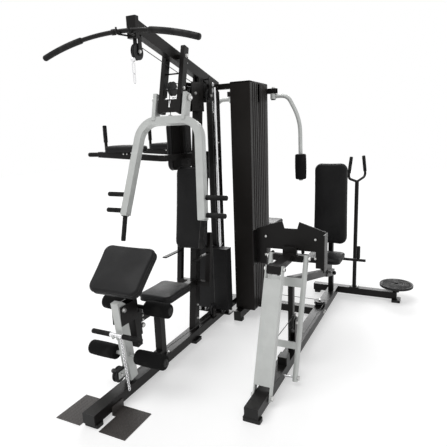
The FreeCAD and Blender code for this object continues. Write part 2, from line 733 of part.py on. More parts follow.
def pins():
    corner = rod(CORNER_PULLEY - UP * (PULLEY_W / 2 + PULLEY_SIDE + 8), CORNER_PULLEY + UP * 22, PIN_R)
    return [pulley_pin(FRONT_PULLEY, RIGHT),
            rod(STACK_PULLEY - RIGHT * 26, SECOND_PULLEY + RIGHT * 26, PIN_R),
            rod(on_bracket(-BRACKET_X - 20, 207), on_bracket(BRACKET_X + 20, 207), PIN_R),
            rod(GUSSET_PULLEY - RIGHT * 36, GUSSET_PULLEY + RIGHT * 36, PIN_R),
            pulley_pin(RAIL_PULLEY, rail_pulley_axis()), corner,
            rod(LEG_LOW_PULLEY - RIGHT * 17, LEG_LOW_PULLEY + RIGHT * 26, PIN_R),
            rod(LEG_MID_PULLEY - RIGHT * 17, LEG_MID_PULLEY + RIGHT * 26, PIN_R),
            pulley_pin(SIDE_TOP_PULLEY, RIGHT), pulley_pin(SIDE_LOW_PULLEY, BACK, 19)]


def guide_rods_and_axles():
    return group(guide_rods(), bracket_bolt(), press_axle(), dev_axle(), *pins(), *[lever_axle(y) for y in lever_feet()])


# ---- weight stacks ------------------------------------------------------------------------------

def stack_plate(centre, along_x, z0, height=PLATE_H):
    long_half = PLATE_LONG / 2
    short_half = PLATE_SHORT / 2
    if along_x:
        block = box(centre.x - long_half, centre.x + long_half, centre.y - short_half, centre.y + short_half,
                    z0, z0 + height)
        offset = V(ROD_SPREAD, 0, 0)
    else:
        block = box(centre.x - short_half, centre.x + short_half, centre.y - long_half, centre.y + long_half,
                    z0, z0 + height)
        offset = V(0, ROD_SPREAD, 0)
    for spot in (centre + offset, centre - offset):
        block = block.cut(Part.makeCylinder(ROD_R + 0.6, height, V(spot.x, spot.y, z0)))
    block = block.cut(Part.makeCylinder(SELECTOR_R + 0.6, height, V(centre.x, centre.y, z0)))
    return block


FRONT_STACK = V(0, STACK_Y, 0)
SIDE_STACK = V(SIDE_STACK_X, SIDE_STACK_Y, 0)


def resting_plates(centre, along_x):
    plates = []
    for index in range(PLATE_COUNT - LIFTED_COUNT):
        plates.append(stack_plate(centre, along_x, STACK_BASE + BUMPER_H + index * PLATE_H))
    return plates


def lifted_plates(centre, along_x):
    plates = [stack_plate(centre, along_x, SPLIT_Z + index * PLATE_H) for index in range(LIFTED_COUNT)]
    pin_z = SPLIT_Z + PLATE_H / 2
    plates = [plate.cut(selector_hole(centre, along_x, pin_z)) for plate in plates]
    spine = rod(V(centre.x, centre.y, STACK_BASE + BUMPER_H + 10), V(centre.x, centre.y, STACK_TOP + 30), SELECTOR_R)
    head = stack_plate(centre, along_x, STACK_TOP, 16)
    head = head.fuse(rod(V(centre.x, centre.y, STACK_TOP), V(centre.x, centre.y, STACK_TOP + 16), 16))
    spine = spine.cut(head).cut(selector_hole(centre, along_x, pin_z))
    return plates + [head] + spine.Solids


def selector_hole(centre, along_x, z):
    out = BACK if along_x else RIGHT
    return rod(V(centre.x, centre.y, z) - out * 60, V(centre.x, centre.y, z) + out * 60, PIN_R + 0.3)


def selector_pin(centre):
    """The pin that picks the working weight. It pulls out to the front."""
    z = SPLIT_Z + PLATE_H / 2
    front = V(centre.x, centre.y - PLATE_SHORT / 2 - 40, z)
    shaft = rod(front, V(centre.x, centre.y + 20, z), PIN_R)
    knob = rod(front - BACK * 14, front, 14)
    return join(shaft, knob)


def guide_rods():
    front_top = boom_axis(STACK_Y).z - BOOM_D / 2 / math.cos(math.radians(BOOM_TILT)) - 22
    rods = []
    for side in (-1, 1):
        spot = V(side * ROD_SPREAD, STACK_Y, 0)
        rods.append(rod(spot + UP * STACK_BASE, spot + UP * front_top, ROD_R))
        spot = V(SIDE_STACK_X, SIDE_STACK_Y + side * ROD_SPREAD, 0)
        rods.append(rod(spot + UP * STACK_BASE, spot + UP * 1588, ROD_R))
    return group(*rods)


def stack_bases():
    """Base plates, rubber bumpers and the top plate that hold the guide rods."""
    front_top = boom_axis(STACK_Y).z - BOOM_D / 2 / math.cos(math.radians(BOOM_TILT)) - 22
    front = box(-150, 150, STACK_Y - 40, STACK_Y + 40, RAIL_TOP, STACK_BASE)
    side = box(COVER_X0, COVER_X1, COVER_Y0, COVER_Y1, RAIL_TOP, STACK_BASE)
    top = box(-92, 92, STACK_Y - 5, STACK_Y + 16, front_top, front_top + 8)
    top = top.cut(box(-30, 56, STACK_Y - 50, STACK_Y + 8, front_top - 10, front_top + 20))
    post = trim(box(-20, 20, STACK_Y + 8, STACK_Y + 16, front_top + 8, front_top + 80), boom_block())
    bumpers = []
    for side_x in (-1, 1):
        bumpers.append(rod(V(side_x * 110, STACK_Y, STACK_BASE), V(side_x * 110, STACK_Y, STACK_BASE + BUMPER_H), 15))
        y = SIDE_STACK_Y + side_x * 110
        bumpers.append(rod(V(SIDE_STACK_X, y, STACK_BASE), V(SIDE_STACK_X, y, STACK_BASE + BUMPER_H), 15))
    return group(front, side, top, post, *bumpers)


def side_stack_cover():
    outer = box(COVER_X0, COVER_X1, COVER_Y0, COVER_Y1, STACK_BASE, COVER_TOP)
    inner = box(COVER_X0 + COVER_T, COVER_X1 - COVER_T, COVER_Y0 + COVER_T, COVER_Y1 - COVER_T,
                STACK_BASE - 1, COVER_TOP - COVER_T)
    cover = outer.cut(inner)
    half = CROSS_BEAM_S / 2 + GAP
    entry = box(COVER_X0 - 5, COVER_X0 + 5, CROSS_BEAM_Y - half, CROSS_BEAM_Y + half,
                CROSS_BEAM_Z - half, CROSS_BEAM_Z + half)
    slot = box(COVER_X1 - 5, COVER_X1 + 5, 655, 693, COVER_TOP - 150, COVER_TOP - 14)
    exit_hole = box(COVER_X1 - 5, COVER_X1 + 5, SIDE_CABLE_Y - 8, SIDE_CABLE_Y + 8,
                    FLOOR_CABLE_Z - 10, FLOOR_CABLE_Z + 10)
    return cover.cut(group(entry, slot, exit_hole))


# ---- front seat ---------------------------------------------------------------------------------

SLEEVE_UP = V(0, -math.sin(math.radians(SLEEVE_TILT)), math.cos(math.radians(SLEEVE_TILT)))
DEV_DOWN = V(0, math.sin(math.radians(DEV_TILT)), -math.cos(math.radians(DEV_TILT)))
DEV_OUT = V(0, -math.cos(math.radians(DEV_TILT)), -math.sin(math.radians(DEV_TILT)))


def sleeve_point(z):
    return V(0, SLEEVE_Y, 400) + SLEEVE_UP * ((z - 400) / SLEEVE_UP.z)


def dev_axis(drop):
    return V(0, DEV_PIVOT_Y, DEV_PIVOT_Z) + DEV_DOWN * drop


def dev_axle():
    return rod(V(-44, DEV_PIVOT_Y, DEV_PIVOT_Z), V(44, DEV_PIVOT_Y, DEV_PIVOT_Z), 8)


def preacher_knob_axis():
    return sleeve_point(365)


def seat_frame():
    s = SEAT_TUBE / 2
    upright = beam(V(0, UPRIGHT_Y, RAIL_TOP), V(0, upright_centre(900), 900), RIGHT, UPRIGHT_W, UPRIGHT_D, 0)
    long_tube = beam(V(0, SLEEVE_Y, BEAM_Z), V(0, upright_centre(BEAM_Z), BEAM_Z), RIGHT, SEAT_TUBE, SEAT_TUBE)
    long_tube = min(long_tube.cut(upright).Solids, key=lambda solid: solid.CenterOfMass.y)
    post = beam(V(0, SEAT_POST_Y, RAIL_TOP + 6), V(0, SEAT_POST_Y, BEAM_Z - s), RIGHT, SEAT_TUBE, SEAT_TUBE)
    flange = box(-RAIL_W / 2, RAIL_W / 2, SEAT_POST_Y - 60, SEAT_POST_Y + 45, RAIL_TOP, RAIL_TOP + 6)
    gusset = box(-s, s, SEAT_POST_Y - 50, SEAT_POST_Y - s, RAIL_TOP + 6, RAIL_TOP + 40)
    seat_plate = box(-90, 90, SEAT_FRONT + 30, SEAT_REAR - 30, BEAM_Z + s, BEAM_Z + s + 6)
    outer = beam(sleeve_point(330), sleeve_point(480), RIGHT, POST_S + 12, POST_S + 12, 0)
    bore = beam(sleeve_point(300), sleeve_point(520), RIGHT, POST_S + 1, POST_S + 1, 0)
    ears = []
    for side in (-1, 1):
        x0 = side * (max(DEV_W, POST_S) / 2 + 1.5)
        x1 = side * (max(DEV_W, POST_S) / 2 + 8)
        ear = box(min(x0, x1), max(x0, x1), DEV_PIVOT_Y - 22, SLEEVE_Y - 8, DEV_PIVOT_Z - 90, DEV_PIVOT_Z + 22)
        ears.append(ear)
    saddle = box(-22, 22, UPPER_ROLLER_Y - 10, UPPER_ROLLER_Y + 22, BEAM_Z + s, UPPER_ROLLER_Z)
    bar = rod(V(-UPPER_ROLLER_END, UPPER_ROLLER_Y, UPPER_ROLLER_Z), V(UPPER_ROLLER_END, UPPER_ROLLER_Y, UPPER_ROLLER_Z),
              ROLLER_BAR_R)
    whole = join(long_tube, post, flange, gusset, seat_plate, outer, saddle, bar, *ears)
    pin = preacher_knob_axis()
    whole = whole.cut(bore).cut(dev_axle())
    return largest(whole.cut(rod(pin, pin + BACK * 80, 6 + RUN)).cut(low_cable_hole()))


def roller_pair(end, y, z):
    right = rod(V(70, y, z), V(end, y, z), ROLLER_R, ROLLER_BAR_R + 0.1)
    return group(right, mirror_x(right))


def upper_rollers():
    return roller_pair(UPPER_ROLLER_END, UPPER_ROLLER_Y, UPPER_ROLLER_Z)


def cushion(x0, x1, y0, y1, z0, z1, radius=16):
    return rounded(box(x0, x1, y0, y1, z0, z1), radius)


def seat_pad():
    low = BEAM_Z + SEAT_TUBE / 2 + 6 + GAP
    return cushion(-SEAT_W / 2, SEAT_W / 2, SEAT_FRONT, SEAT_REAR, low, SEAT_TOP)


def leaning(x0, x1, near, far, z0, z1):
    """A block parallel to the main upright, from near to far in front of its centre line."""
    low = V(0, upright_centre(z0), z0)
    block = Part.makeBox(x1 - x0, far - near, (z1 - z0) / UPRIGHT_LINE.z, V(x0, -far, 0))
    block.Placement = FreeCAD.Placement(low, FreeCAD.Rotation(RIGHT, -UPRIGHT_LEAN))
    return block


def backrest_board():
    near = UPRIGHT_D / 2 + GAP
    return leaning(-PAD_W / 2 + 12, PAD_W / 2 - 12, near, near + BOARD_T, BACKREST_Z0 + 12, BACKREST_Z1 - 12)


def backrest_pad():
    near = UPRIGHT_D / 2 + 2 * GAP + BOARD_T
    pad = leaning(-PAD_W / 2, PAD_W / 2, near, near + PAD_T, BACKREST_Z0, BACKREST_Z1)
    return rounded(pad, 16)


# ---- leg developer and preacher pad -------------------------------------------------------------

def low_roller_point():
    return dev_axis(LOWER_ROLLER_DROP)


def leg_developer():
    tube = beam(dev_axis(4 - DEV_ABOVE), dev_axis(DEV_BELOW), RIGHT, DEV_W, DEV_D)
    cap = beam(dev_axis(-DEV_ABOVE), dev_axis(4 - DEV_ABOVE), RIGHT, DEV_W, DEV_D, 0)
    corner = dev_axis(-DEV_ABOVE) - DEV_OUT * (DEV_D / 2)
    slant = (DEV_OUT + DEV_DOWN).normalize()
    bush = rod(V(-DEV_W / 2, DEV_PIVOT_Y, DEV_PIVOT_Z), V(DEV_W / 2, DEV_PIVOT_Y, DEV_PIVOT_Z), 14)
    spot = low_roller_point()
    bar = rod(spot + LEFT * LOWER_ROLLER_END, spot + RIGHT * LOWER_ROLLER_END, ROLLER_BAR_R)
    cradle = []
    face = dev_axis(150) + DEV_OUT * (DEV_D / 2)
    for x in (-16, 16):
        lip = swept_round([face + V(x, 6, 0), face + V(x, -44, -5), face + V(x, -49, 18)], 8, 3.5)
        cradle.append(lip)
    plates = []
    for near in (14, -14 - PLATE_T):
        plates.append(box(near, near + PLATE_T, DEV_PULLEY.y - 20, dev_axis(380).y - DEV_D / 2 + 8,
                          DEV_PULLEY.z - 20, DEV_PULLEY.z + 20))
    reach = DEV_CHAMFER * math.sqrt(2)
    wedge = beam(corner - slant * reach, corner + slant * (reach / 2), RIGHT, 80, 4 * reach, 0)
    lid = beam(corner + slant * (reach / 2), corner + slant * (reach / 2 + 3), RIGHT, DEV_W, reach + 6, 0)
    hull = beam(dev_axis(-DEV_ABOVE), dev_axis(DEV_BELOW), RIGHT, DEV_W, DEV_D, 0)
    whole = join(join(tube, cap).cut(wedge), lid.common(hull), bush, bar, *cradle, *plates)
    slot = rod(V(0, DEV_PULLEY.y - 60, DEV_PULLEY.z - TRACK_R), V(0, DEV_PIVOT_Y + 260, DEV_PULLEY.z - TRACK_R), 7)
    hole = rod(V(-60, DEV_PIVOT_Y, DEV_PIVOT_Z), V(60, DEV_PIVOT_Y, DEV_PIVOT_Z), 8 + RUN)
    return largest(whole.cut(group(slot, hole, pulley_pin(DEV_PULLEY, RIGHT, 24))))


def lower_rollers():
    spot = low_roller_point()
    return roller_pair(LOWER_ROLLER_END, spot.y, spot.z)


def developer_cable():
    """The pulling end of the low cable: it passes through the developer, round its pulley, to a stop ball."""
    behind = V(0, dev_axis(DEV_PIVOT_Z - 123).y + DEV_D / 2 + 9, DEV_PULLEY.z - TRACK_R)
    stop = DEV_PULLEY + V(0, -TRACK_R, STOP_DROP)
    line = cable([behind, turn_point(DEV_PULLEY, FRONT, UP), stop])
    ball = Part.makeSphere(13, stop + UP * 12)
    ball = ball.cut(line)
    pin = pulley_pin(DEV_PULLEY, RIGHT, 24)
    return group(line, ball, pin)


def preacher_post():
    tube = beam(sleeve_point(262), sleeve_point(830), RIGHT, POST_S, POST_S)
    plate = preacher_block(60 + GAP, 66 + GAP, 62, 242, 110)
    top = trim(tube, preacher_block(-40, 60 + GAP, -100, 400, 300))
    return join(top, plate)


PREACHER_LOW = V(0, -850, 672)
PREACHER_LINE = V(0, 1, 1).normalize()
PREACHER_BACK = V(0, 1, -1).normalize()


def preacher_block(near, far, low, high, half_width):
    """A block parallel to the preacher pad, from near to far behind its face."""
    start = PREACHER_LOW + PREACHER_LINE * low + PREACHER_BACK * ((near + far) / 2)
    return beam(start, start + PREACHER_LINE * (high - low), RIGHT, 2 * half_width, far - near, 0)


def preacher_pad():
    return rounded(preacher_block(0, 60, 0, 304, 180), 16)


def preacher_knob():
    """A clamp screw through the sleeve, with a ball knob behind."""
    axis = preacher_knob_axis()
    shaft = rod(axis + BACK * (POST_S / 2 + 3 * GAP), axis + BACK * 62, 6)
    return join(shaft, Part.makeSphere(17, axis + BACK * 72))


def curl_bar():
    """The bar in its cradle, and the chain that hangs from its collar beside the developer's pulley."""
    seat = dev_axis(150) + DEV_OUT * (DEV_D / 2)
    centre = V(0, seat.y - 28, seat.z + 12.5)
    bar = rod(centre + LEFT * 172, centre + RIGHT * 172, 12)
    collar = rod(centre + RIGHT * 22, centre + RIGHT * 38, 15, 12)
    top = centre + V(31, 0, -22)
    run = V(CHAIN_END_X, centre.y, CHAIN_END_Z) - top
    along = V(run).normalize()
    count = int(run.Length / LINK_PITCH)
    links = []
    for index in range(count + 1):
        plane = along.cross(BACK) if index % 2 else BACK
        links.append(Part.makeTorus(LINK_R, LINK_WIRE, top + along * (index * LINK_PITCH), plane))
    last = top + along * (count * LINK_PITCH)
    clip = snap_hook(last + along * 2 - UP, 30, 14, 2.5, RIGHT if count % 2 else BACK)
    return group(bar, join(collar, links[0]), *links[1:], clip)


# ---- press arm ----------------------------------------------------------------------------------

def on_arm(x, drop, ahead=0):
    return on_bracket(x, AXLE_DROP + drop, ahead)


def press_leg_x(drop):
    return PRESS_CORNER_X + (PRESS_LEG_X - PRESS_CORNER_X) * (drop - PRESS_TOP) / (PRESS_LEG_END - PRESS_TOP)


def press_arm():
    half = PRESS_TUBE / 2
    points = [on_arm(-PRESS_LEG_X, PRESS_LEG_END), on_arm(-PRESS_CORNER_X, PRESS_TOP),
              on_arm(PRESS_CORNER_X, PRESS_TOP), on_arm(PRESS_LEG_X, PRESS_LEG_END)]
    along = (points[1] - points[0]).normalize()
    side = along.cross(AHEAD).normalize()
    spine = path(points, PRESS_BEND_R)

    def section(size):
        corners = [points[0] + side * a + AHEAD * b
                   for a, b in ((-size, -size), (size, -size), (size, size), (-size, size))]
        return Part.makePolygon(corners + [corners[0]])

    outer = spine.makePipeShell([section(half)], True, False)
    inner = spine.makePipeShell([section(half - WALL)], True, False)
    lugs = []
    for x in (-PRESS_LUG_X, PRESS_LUG_X):
        lug = beam(on_arm(x, -33), on_arm(x, PRESS_TOP), RIGHT, PRESS_LUG_W, PRESS_LUG_D, 0)
        lugs.append(lug.cut(outer))
    eye = beam(on_arm(0, PRESS_TOP - half - PRESS_EYE_H), on_arm(0, PRESS_TOP - half), RIGHT, 18, 18, 0)
    stubs = []
    for drop in HANDLE_DROPS:
        for side_sign in (-1, 1):
            x = press_leg_x(drop) * side_sign
            stubs.append(rod(on_arm(x, drop), on_arm(side_sign * HANDLE_END_X, drop), HANDLE_R))
    for side_sign in (-1, 1):
        x = side_sign * PRESS_LEG_X
        stubs.append(rod(on_arm(x, PRESS_LEG_END - 8), on_arm(x, PRESS_LEG_END + LOWER_GRIP_LENGTH), HANDLE_R))
        stubs.append(rod(on_arm(x, PRESS_LEG_END), on_arm(x, PRESS_LEG_END + 4), 30))
    frame = join(outer.cut(inner), eye, *lugs, *stubs)
    hole = rod(on_bracket(-170, AXLE_DROP), on_bracket(170, AXLE_DROP), AXLE_R + RUN)
    return largest(frame.cut(hole))


def press_grips():
    grips = []
    for side in (-1, 1):
        for drop in HANDLE_DROPS:
            start = press_leg_x(drop) + PRESS_TUBE / 2 + 4
            grips.append(rod(on_arm(side * start, drop), on_arm(side * (HANDLE_END_X + 4), drop), GRIP_R, HANDLE_R + 0.1))
        x = side * PRESS_LEG_X
        grips.append(rod(on_arm(x, PRESS_LEG_END + 4 + GAP), on_arm(x, PRESS_LEG_END + 28), 26, HANDLE_R + 0.1))
        grips.append(rod(on_arm(x, PRESS_LEG_END + 28 + GAP), on_arm(x, PRESS_LEG_END + LOWER_GRIP_LENGTH + 4),
                         GRIP_R, HANDLE_R + 0.1))
    return group(*grips)


# ---- lat bar ------------------------------------------------------------------------------------

def along_arc(x0, x1, radius):
    """A round bar along the lat bar's arc, between two distances from its middle."""
    bow = (LAT_HALF ** 2 + LAT_SAG ** 2) / (2 * LAT_SAG)
    centre = V(LAT_X, LAT_Y, LAT_Z - bow)
    start = math.asin(x0 / bow)
    sweep = math.asin(x1 / bow) - start
    at = centre + V(bow * math.sin(start), 0, bow * math.cos(start))
    ring = Part.Face(Part.Wire([Part.makeCircle(radius, at, V(math.cos(start), 0, -math.sin(start)))]))
    return ring.revolve(centre, BACK, math.degrees(sweep))


def lat_bar():
    bar = along_arc(-LAT_HALF, LAT_HALF, LAT_R)
    bore = along_arc(-LAT_HALF, LAT_HALF, LAT_R + 0.1)
    right = along_arc(LAT_HALF - 300, LAT_HALF + 6, 18).cut(bore)
    left = along_arc(-LAT_HALF - 6, 300 - LAT_HALF, 18).cut(bore)
    return group(bar, largest(right), largest(left))


def snap_hook(top, length, wide=16, wire=3.2, plane=RIGHT):
    """A closed oval link, hanging from its top point."""
    half = wide / 2
    low = top - UP * length
    right = swept_round([top, top + plane * half, low + plane * half, low], half * 0.9, wire)
    left = swept_round([top, top - plane * half, low - plane * half, low], half * 0.9, wire)
    return join(right, left)


def snap_hooks():
    lat_start = FRONT_PULLEY - V(0, TRACK_R, STOP_DROP)
    ball = Part.makeSphere(14, lat_start - UP * (14 + GAP))
    first = snap_hook(lat_start - UP * 32, 60)
    second = snap_hook(lat_start - UP * 85, 56, plane=BACK)
    side_x = BOOM_W / 2 + 14
    peg = rod(V(BOOM_W / 2, SPARE_Y, SPARE_Z), V(side_x + 8, SPARE_Y, SPARE_Z), 5)
    spare_one = snap_hook(V(side_x, SPARE_Y, SPARE_Z + 8.5), 110, 18, plane=BACK)
    spare_two = snap_hook(V(side_x, SPARE_Y, SPARE_Z - 94.8), 110, 18)
    return group(ball, first, second, peg, spare_one, spare_two)


# ---- knee raise station -------------------------------------------------------------------------

def knee_raise_frame():
    half = KNEE_TUBE / 2
    y0, y1 = KNEE_Y
    cross = box(KNEE_X - half, KNEE_X + half, y0 - half, y1 + half, KNEE_Z - half, KNEE_Z + half)
    core = box(KNEE_X - half + WALL, KNEE_X + half - WALL, y0 - half + WALL, y1 + half - WALL,
               KNEE_Z - half + WALL, KNEE_Z + half - WALL)
    cross = cross.cut(core)
    pieces = [cross]
    pad_mid = (y0 + y1) / 2
    pieces.append(box(KNEE_X - half, KNEE_X, pad_mid - 20, pad_mid + 20, KNEE_Z + half, 1560))
    pieces.append(box(KNEE_X - half - KNEE_BOARD_T, KNEE_X - half, pad_mid - 130, pad_mid + 130, 1255, 1575))
    for y in KNEE_Y:
        arm = beam(V(KNEE_X - half, y, KNEE_Z), V(KNEE_END, y, KNEE_Z + 30), BACK, KNEE_TUBE, KNEE_TUBE)
        grip_x = -600
        upright = rod(V(grip_x, y, KNEE_Z + 28), V(grip_x, y, 1572), 11)
        dip = rod(V(KNEE_END + 4, y, KNEE_Z + 30), V(KNEE_END - 104, y, KNEE_Z + 30), 12)
        cap = beam(V(KNEE_END, y, KNEE_Z + 30), V(KNEE_END - 4, y, KNEE_Z + 30), BACK, KNEE_TUBE, KNEE_TUBE, 0)
        shelf_y = 40
        shelf = box(-570, -280, y - shelf_y, y + shelf_y, KNEE_Z + 42, KNEE_Z + 46)
        pillars = box(-440, -400, y - 15, y + 15, KNEE_Z + 22, KNEE_Z + 42)
        pieces += [arm, cap, upright, dip, shelf, pillars]
    mount_y = upright_centre(KNEE_Z)
    pieces.append(box(KNEE_X + half, -UPRIGHT_W / 2, mount_y - 18, mount_y + 18, KNEE_Z - 18, KNEE_Z + 18))
    pieces.append(box(KNEE_X + half, -REAR_UPRIGHT_W / 2, REAR_UPRIGHT_Y - 18, REAR_UPRIGHT_Y + 18,
                      KNEE_Z - 18, KNEE_Z + 18))
    return join(*pieces)


def station_pads():
    pieces = []
    pad_mid = sum(KNEE_Y) / 2
    back_x = KNEE_X - KNEE_TUBE / 2 - KNEE_BOARD_T - GAP
    pieces.append(cushion(back_x - PAD_T, back_x, pad_mid - 145, pad_mid + 145, 1240, 1590))
    for y in KNEE_Y:
        pieces.append(cushion(-586, -262, y - 55, y + 55, KNEE_Z + 46 + GAP, KNEE_Z + 96))
    pad_y = BUTTERFLY_Y + 46
    pieces.append(cushion(BACK_X - BACK_PAD_HALF, BACK_X + BACK_PAD_HALF, pad_y, pad_y + PAD_T, 820, 1400))
    return group(*pieces, upper_rollers(), fixed_grips())


def fixed_grips():
    pieces = []
    for y in KNEE_Y:
        pieces.append(rod(V(-600, y, KNEE_Z + 96 + 20), V(-600, y, 1576), 15, 11.1))
        pieces.append(rod(V(KNEE_END - 8, y, KNEE_Z + 30), V(KNEE_END - 108, y, KNEE_Z + 30), 16, 12.1))
    return group(*pieces)


# ---- leg press ----------------------------------------------------------------------------------

def lever_feet():
    return (LEVER_FRONT_Y, LEVER_FRONT_Y + LEVER_SPACING)


def lever_axle(y):
    reach = LEVER_W / 2 + 14 if y == LEVER_FRONT_Y else LADDER_X + 24
    return rod(V(LEG_X - reach, y, LEVER_PIVOT_Z), V(LEG_X + reach, y, LEVER_PIVOT_Z), 8)


def lever_point(z, foot_y=LEVER_FRONT_Y, x=LEG_X):
    share = (z - LEVER_PIVOT_Z) / LEVER_RISE
    return V(x, foot_y + LEVER_LEAN_Y * share, z)


def lever_top(foot_y, x=LEG_X):
    return lever_point(LEVER_PIVOT_Z + LEVER_RISE, foot_y, x)


def lever_pin(foot_y, reach):
    top = lever_top(foot_y)
    return rod(top + LEFT * reach, top + RIGHT * reach, 8)


def leg_front_lever():
    line = (lever_top(LEVER_FRONT_Y) - lever_point(LEVER_PIVOT_Z)).normalize()
    foot = lever_point(LEVER_PIVOT_Z)
    top = lever_top(LEVER_FRONT_Y)
    body = beam(foot + line * 66, top - line * 60, RIGHT, LEVER_W, LEVER_D)
    caps = [beam(foot + line * 62, foot + line * 66, RIGHT, LEVER_W, LEVER_D, 0),
            beam(top - line * 60, top - line * 56, RIGHT, LEVER_W, LEVER_D, 0)]
    lugs = []
    for side in (-1, 1):
        x = side * (LEVER_W / 2 - 4)
        lugs.append(beam(foot + line * -20 + RIGHT * x, foot + line * 64 + RIGHT * x, RIGHT, 8, 40, 0))
        lugs.append(beam(top - line * 58 + RIGHT * x, top + line * 20 + RIGHT * x, RIGHT, 8, 40, 0))
    eye = beam(lever_point(341) + BACK * 20 + V(LEG_CABLE_X - LEG_X, 0, 0),
               lever_point(341) + BACK * 38 + V(LEG_CABLE_X - LEG_X, 0, 0), RIGHT, 16, 16, 0)
    whole = join(body, *caps, *lugs, eye)
    wide_foot = rod(foot + LEFT * 90, foot + RIGHT * 90, 8 + RUN)
    wide_top = rod(top + LEFT * 90, top + RIGHT * 90, 8 + RUN)
    return largest(whole.cut(group(wide_foot, wide_top)))


def leg_rear_lever():
    foot_y = LEVER_FRONT_Y + LEVER_SPACING
    foot = V(LEG_X, foot_y, LEVER_PIVOT_Z)
    top = lever_top(foot_y)
    line = (top - foot).normalize()
    pieces = []
    for side in (-1, 1):
        x = RIGHT * (side * LADDER_X)
        pieces.append(rod(foot + x - line * 22, top + x + line * 22, LADDER_R))
    for z, size in ((227, 40), (583, 56)):
        at = lever_point(z, foot_y)
        pieces.append(beam(at + LEFT * LADDER_X, at + RIGHT * LADDER_X, line, size, 24, 0))
    whole = join(*pieces)
    holes = [rod(foot + LEFT * 160, foot + RIGHT * 160, 8 + RUN), rod(top + LEFT * 160, top + RIGHT * 160, 8 + RUN)]
    return largest(whole.cut(group(*holes)))


def footplate():
    """The plate and the coupler that joins the tops of both levers."""
    front = lever_top(LEVER_FRONT_Y)
    rear = lever_top(LEVER_FRONT_Y + LEVER_SPACING)
    block = box(LEG_X - 40, LEG_X + 40, front.y - 24, front.y + 30, front.z - 24, front.z + 24)
    neck = box(LEG_X - 30, LEG_X + 30, front.y + 30, rear.y + 40, front.z - 20, front.z + 20)
    yoke = box(LEG_X - LADDER_X + LADDER_R + 2, LEG_X + LADDER_X - LADDER_R - 2,
               rear.y - 20, rear.y + 20, front.z - 20, front.z + 20)
    face_y = rear.y + 44
    stem = box(LEG_X - 45, LEG_X + 45, rear.y + 20, face_y, front.z - 20, front.z + 60)
    half = FOOTPLATE_W / 2
    outline = [V(LEG_X - half, face_y, 760), V(LEG_X + half, face_y, 760), V(LEG_X + half, face_y, 885),
               V(LEG_X + 55, face_y, 942), V(LEG_X + 42, face_y, 897), V(LEG_X - 42, face_y, 897),
               V(LEG_X - 55, face_y, 942), V(LEG_X - half, face_y, 885)]
    plate = Part.Face(Part.makePolygon(outline + [outline[0]])).extrude(BACK * 10)
    sides = []
    for side in (-1, 1):
        x0 = LEG_X + side * half
        x1 = x0 - side * 8
        side_wall = box(min(x0, x1), max(x0, x1), face_y - 70, face_y + 1, 655, 884)
        sides.append(side_wall)
        apron = box(min(x0, x0 - side * 70), max(x0, x0 - side * 70), face_y, face_y + 10, 655, 762)
        sides.append(apron)
    pins_in = [lever_pin(LEVER_FRONT_Y, LEVER_W / 2 + 12), lever_pin(LEVER_FRONT_Y + LEVER_SPACING, LADDER_X + 24)]
    return join(block, neck, yoke, stem, plate, *sides, *pins_in)


def incline_block(wall):
    start = incline_axis(COLUMN_Y - COLUMN_D / 2 - 2)
    end = incline_axis(LEG_POST_Y + COLUMN_D / 2 + 6)
    return beam(start, end, RIGHT, INCLINE_S, INCLINE_S, wall)


def leg_press_frame():
    incline = incline_block(WALL)
    solid = incline_block(0)
    column = box(LEG_X - COLUMN_W / 2, LEG_X + COLUMN_W / 2, COLUMN_Y - COLUMN_D / 2, COLUMN_Y + COLUMN_D / 2,
                 RAIL_TOP, INCLINE_Z + 20)
    column = min(column.cut(solid).Solids, key=lambda item: item.CenterOfMass.z)
    post = box(LEG_X - 20, LEG_X + 20, LEG_POST_Y - 20, LEG_POST_Y + 20, RAIL_TOP, INCLINE_Z)
    post = min(post.cut(solid).Solids, key=lambda item: item.CenterOfMass.z)
    stop = rounded(box(LEG_X - 20, LEG_X + 40, -228, -160, RAIL_TOP, RAIL_TOP + 52), 6, UP)
    return group(incline, column, post, stop)


CARRIAGE_Y = 1010


def leg_seat_carriage():
    outer = beam(incline_axis(CARRIAGE_Y - 110), incline_axis(CARRIAGE_Y + 110), RIGHT, INCLINE_S + 12,
                 INCLINE_S + 12, 0)
    bore = beam(incline_axis(CARRIAGE_Y - 140), incline_axis(CARRIAGE_Y + 140), RIGHT, INCLINE_S + 1,
                INCLINE_S + 1, 0)
    seat_low = LEG_SEAT_Z - LEG_SEAT_T
    riser = box(LEG_X - 25, LEG_X + 25, CARRIAGE_Y - 90, CARRIAGE_Y + 90, 300, seat_low - 6)
    plate = box(LEG_X - 95, LEG_X + 95, 830, 1130, seat_low - 6, seat_low)
    back_post = box(LEG_X - 20, LEG_X + 20, 1145 + GAP, 1182, seat_low - 40, 1050)
    brace = box(LEG_X - 20, LEG_X + 20, 1090, 1150, seat_low - 40, seat_low - 6)
    centre = V(LEG_X, SEAT_BAR_Y, SEAT_BAR_Z)
    bar = rod(centre + LEFT * 300, centre + RIGHT * 300, 12)
    handles = []
    for side in (-1, 1):
        foot = centre + RIGHT * (side * SEAT_HANDLE_X)
        handles.append(rod(foot, foot + UP * 118, 11))
    whole = join(outer, riser, plate, back_post, brace, bar, *handles)
    return largest(whole.cut(bore))


def leg_seat_pads():
    low = LEG_SEAT_Z - LEG_SEAT_T + GAP
    seat = cushion(LEG_X - LEG_SEAT_HALF, LEG_X + LEG_SEAT_HALF, 800, 1142, low, LEG_SEAT_Z)
    back = cushion(LEG_X - LEG_BACK_HALF, LEG_X + LEG_BACK_HALF, 1085, 1145, 530, 1215)
    grips = []
    for side in (-1, 1):
        foot = V(LEG_X + side * SEAT_HANDLE_X, SEAT_BAR_Y, SEAT_BAR_Z)
        grips.append(rod(foot + UP * 18, foot + UP * 122, 15, 11.1))
    return group(seat, back, *grips)


# ---- back station -------------------------------------------------------------------------------

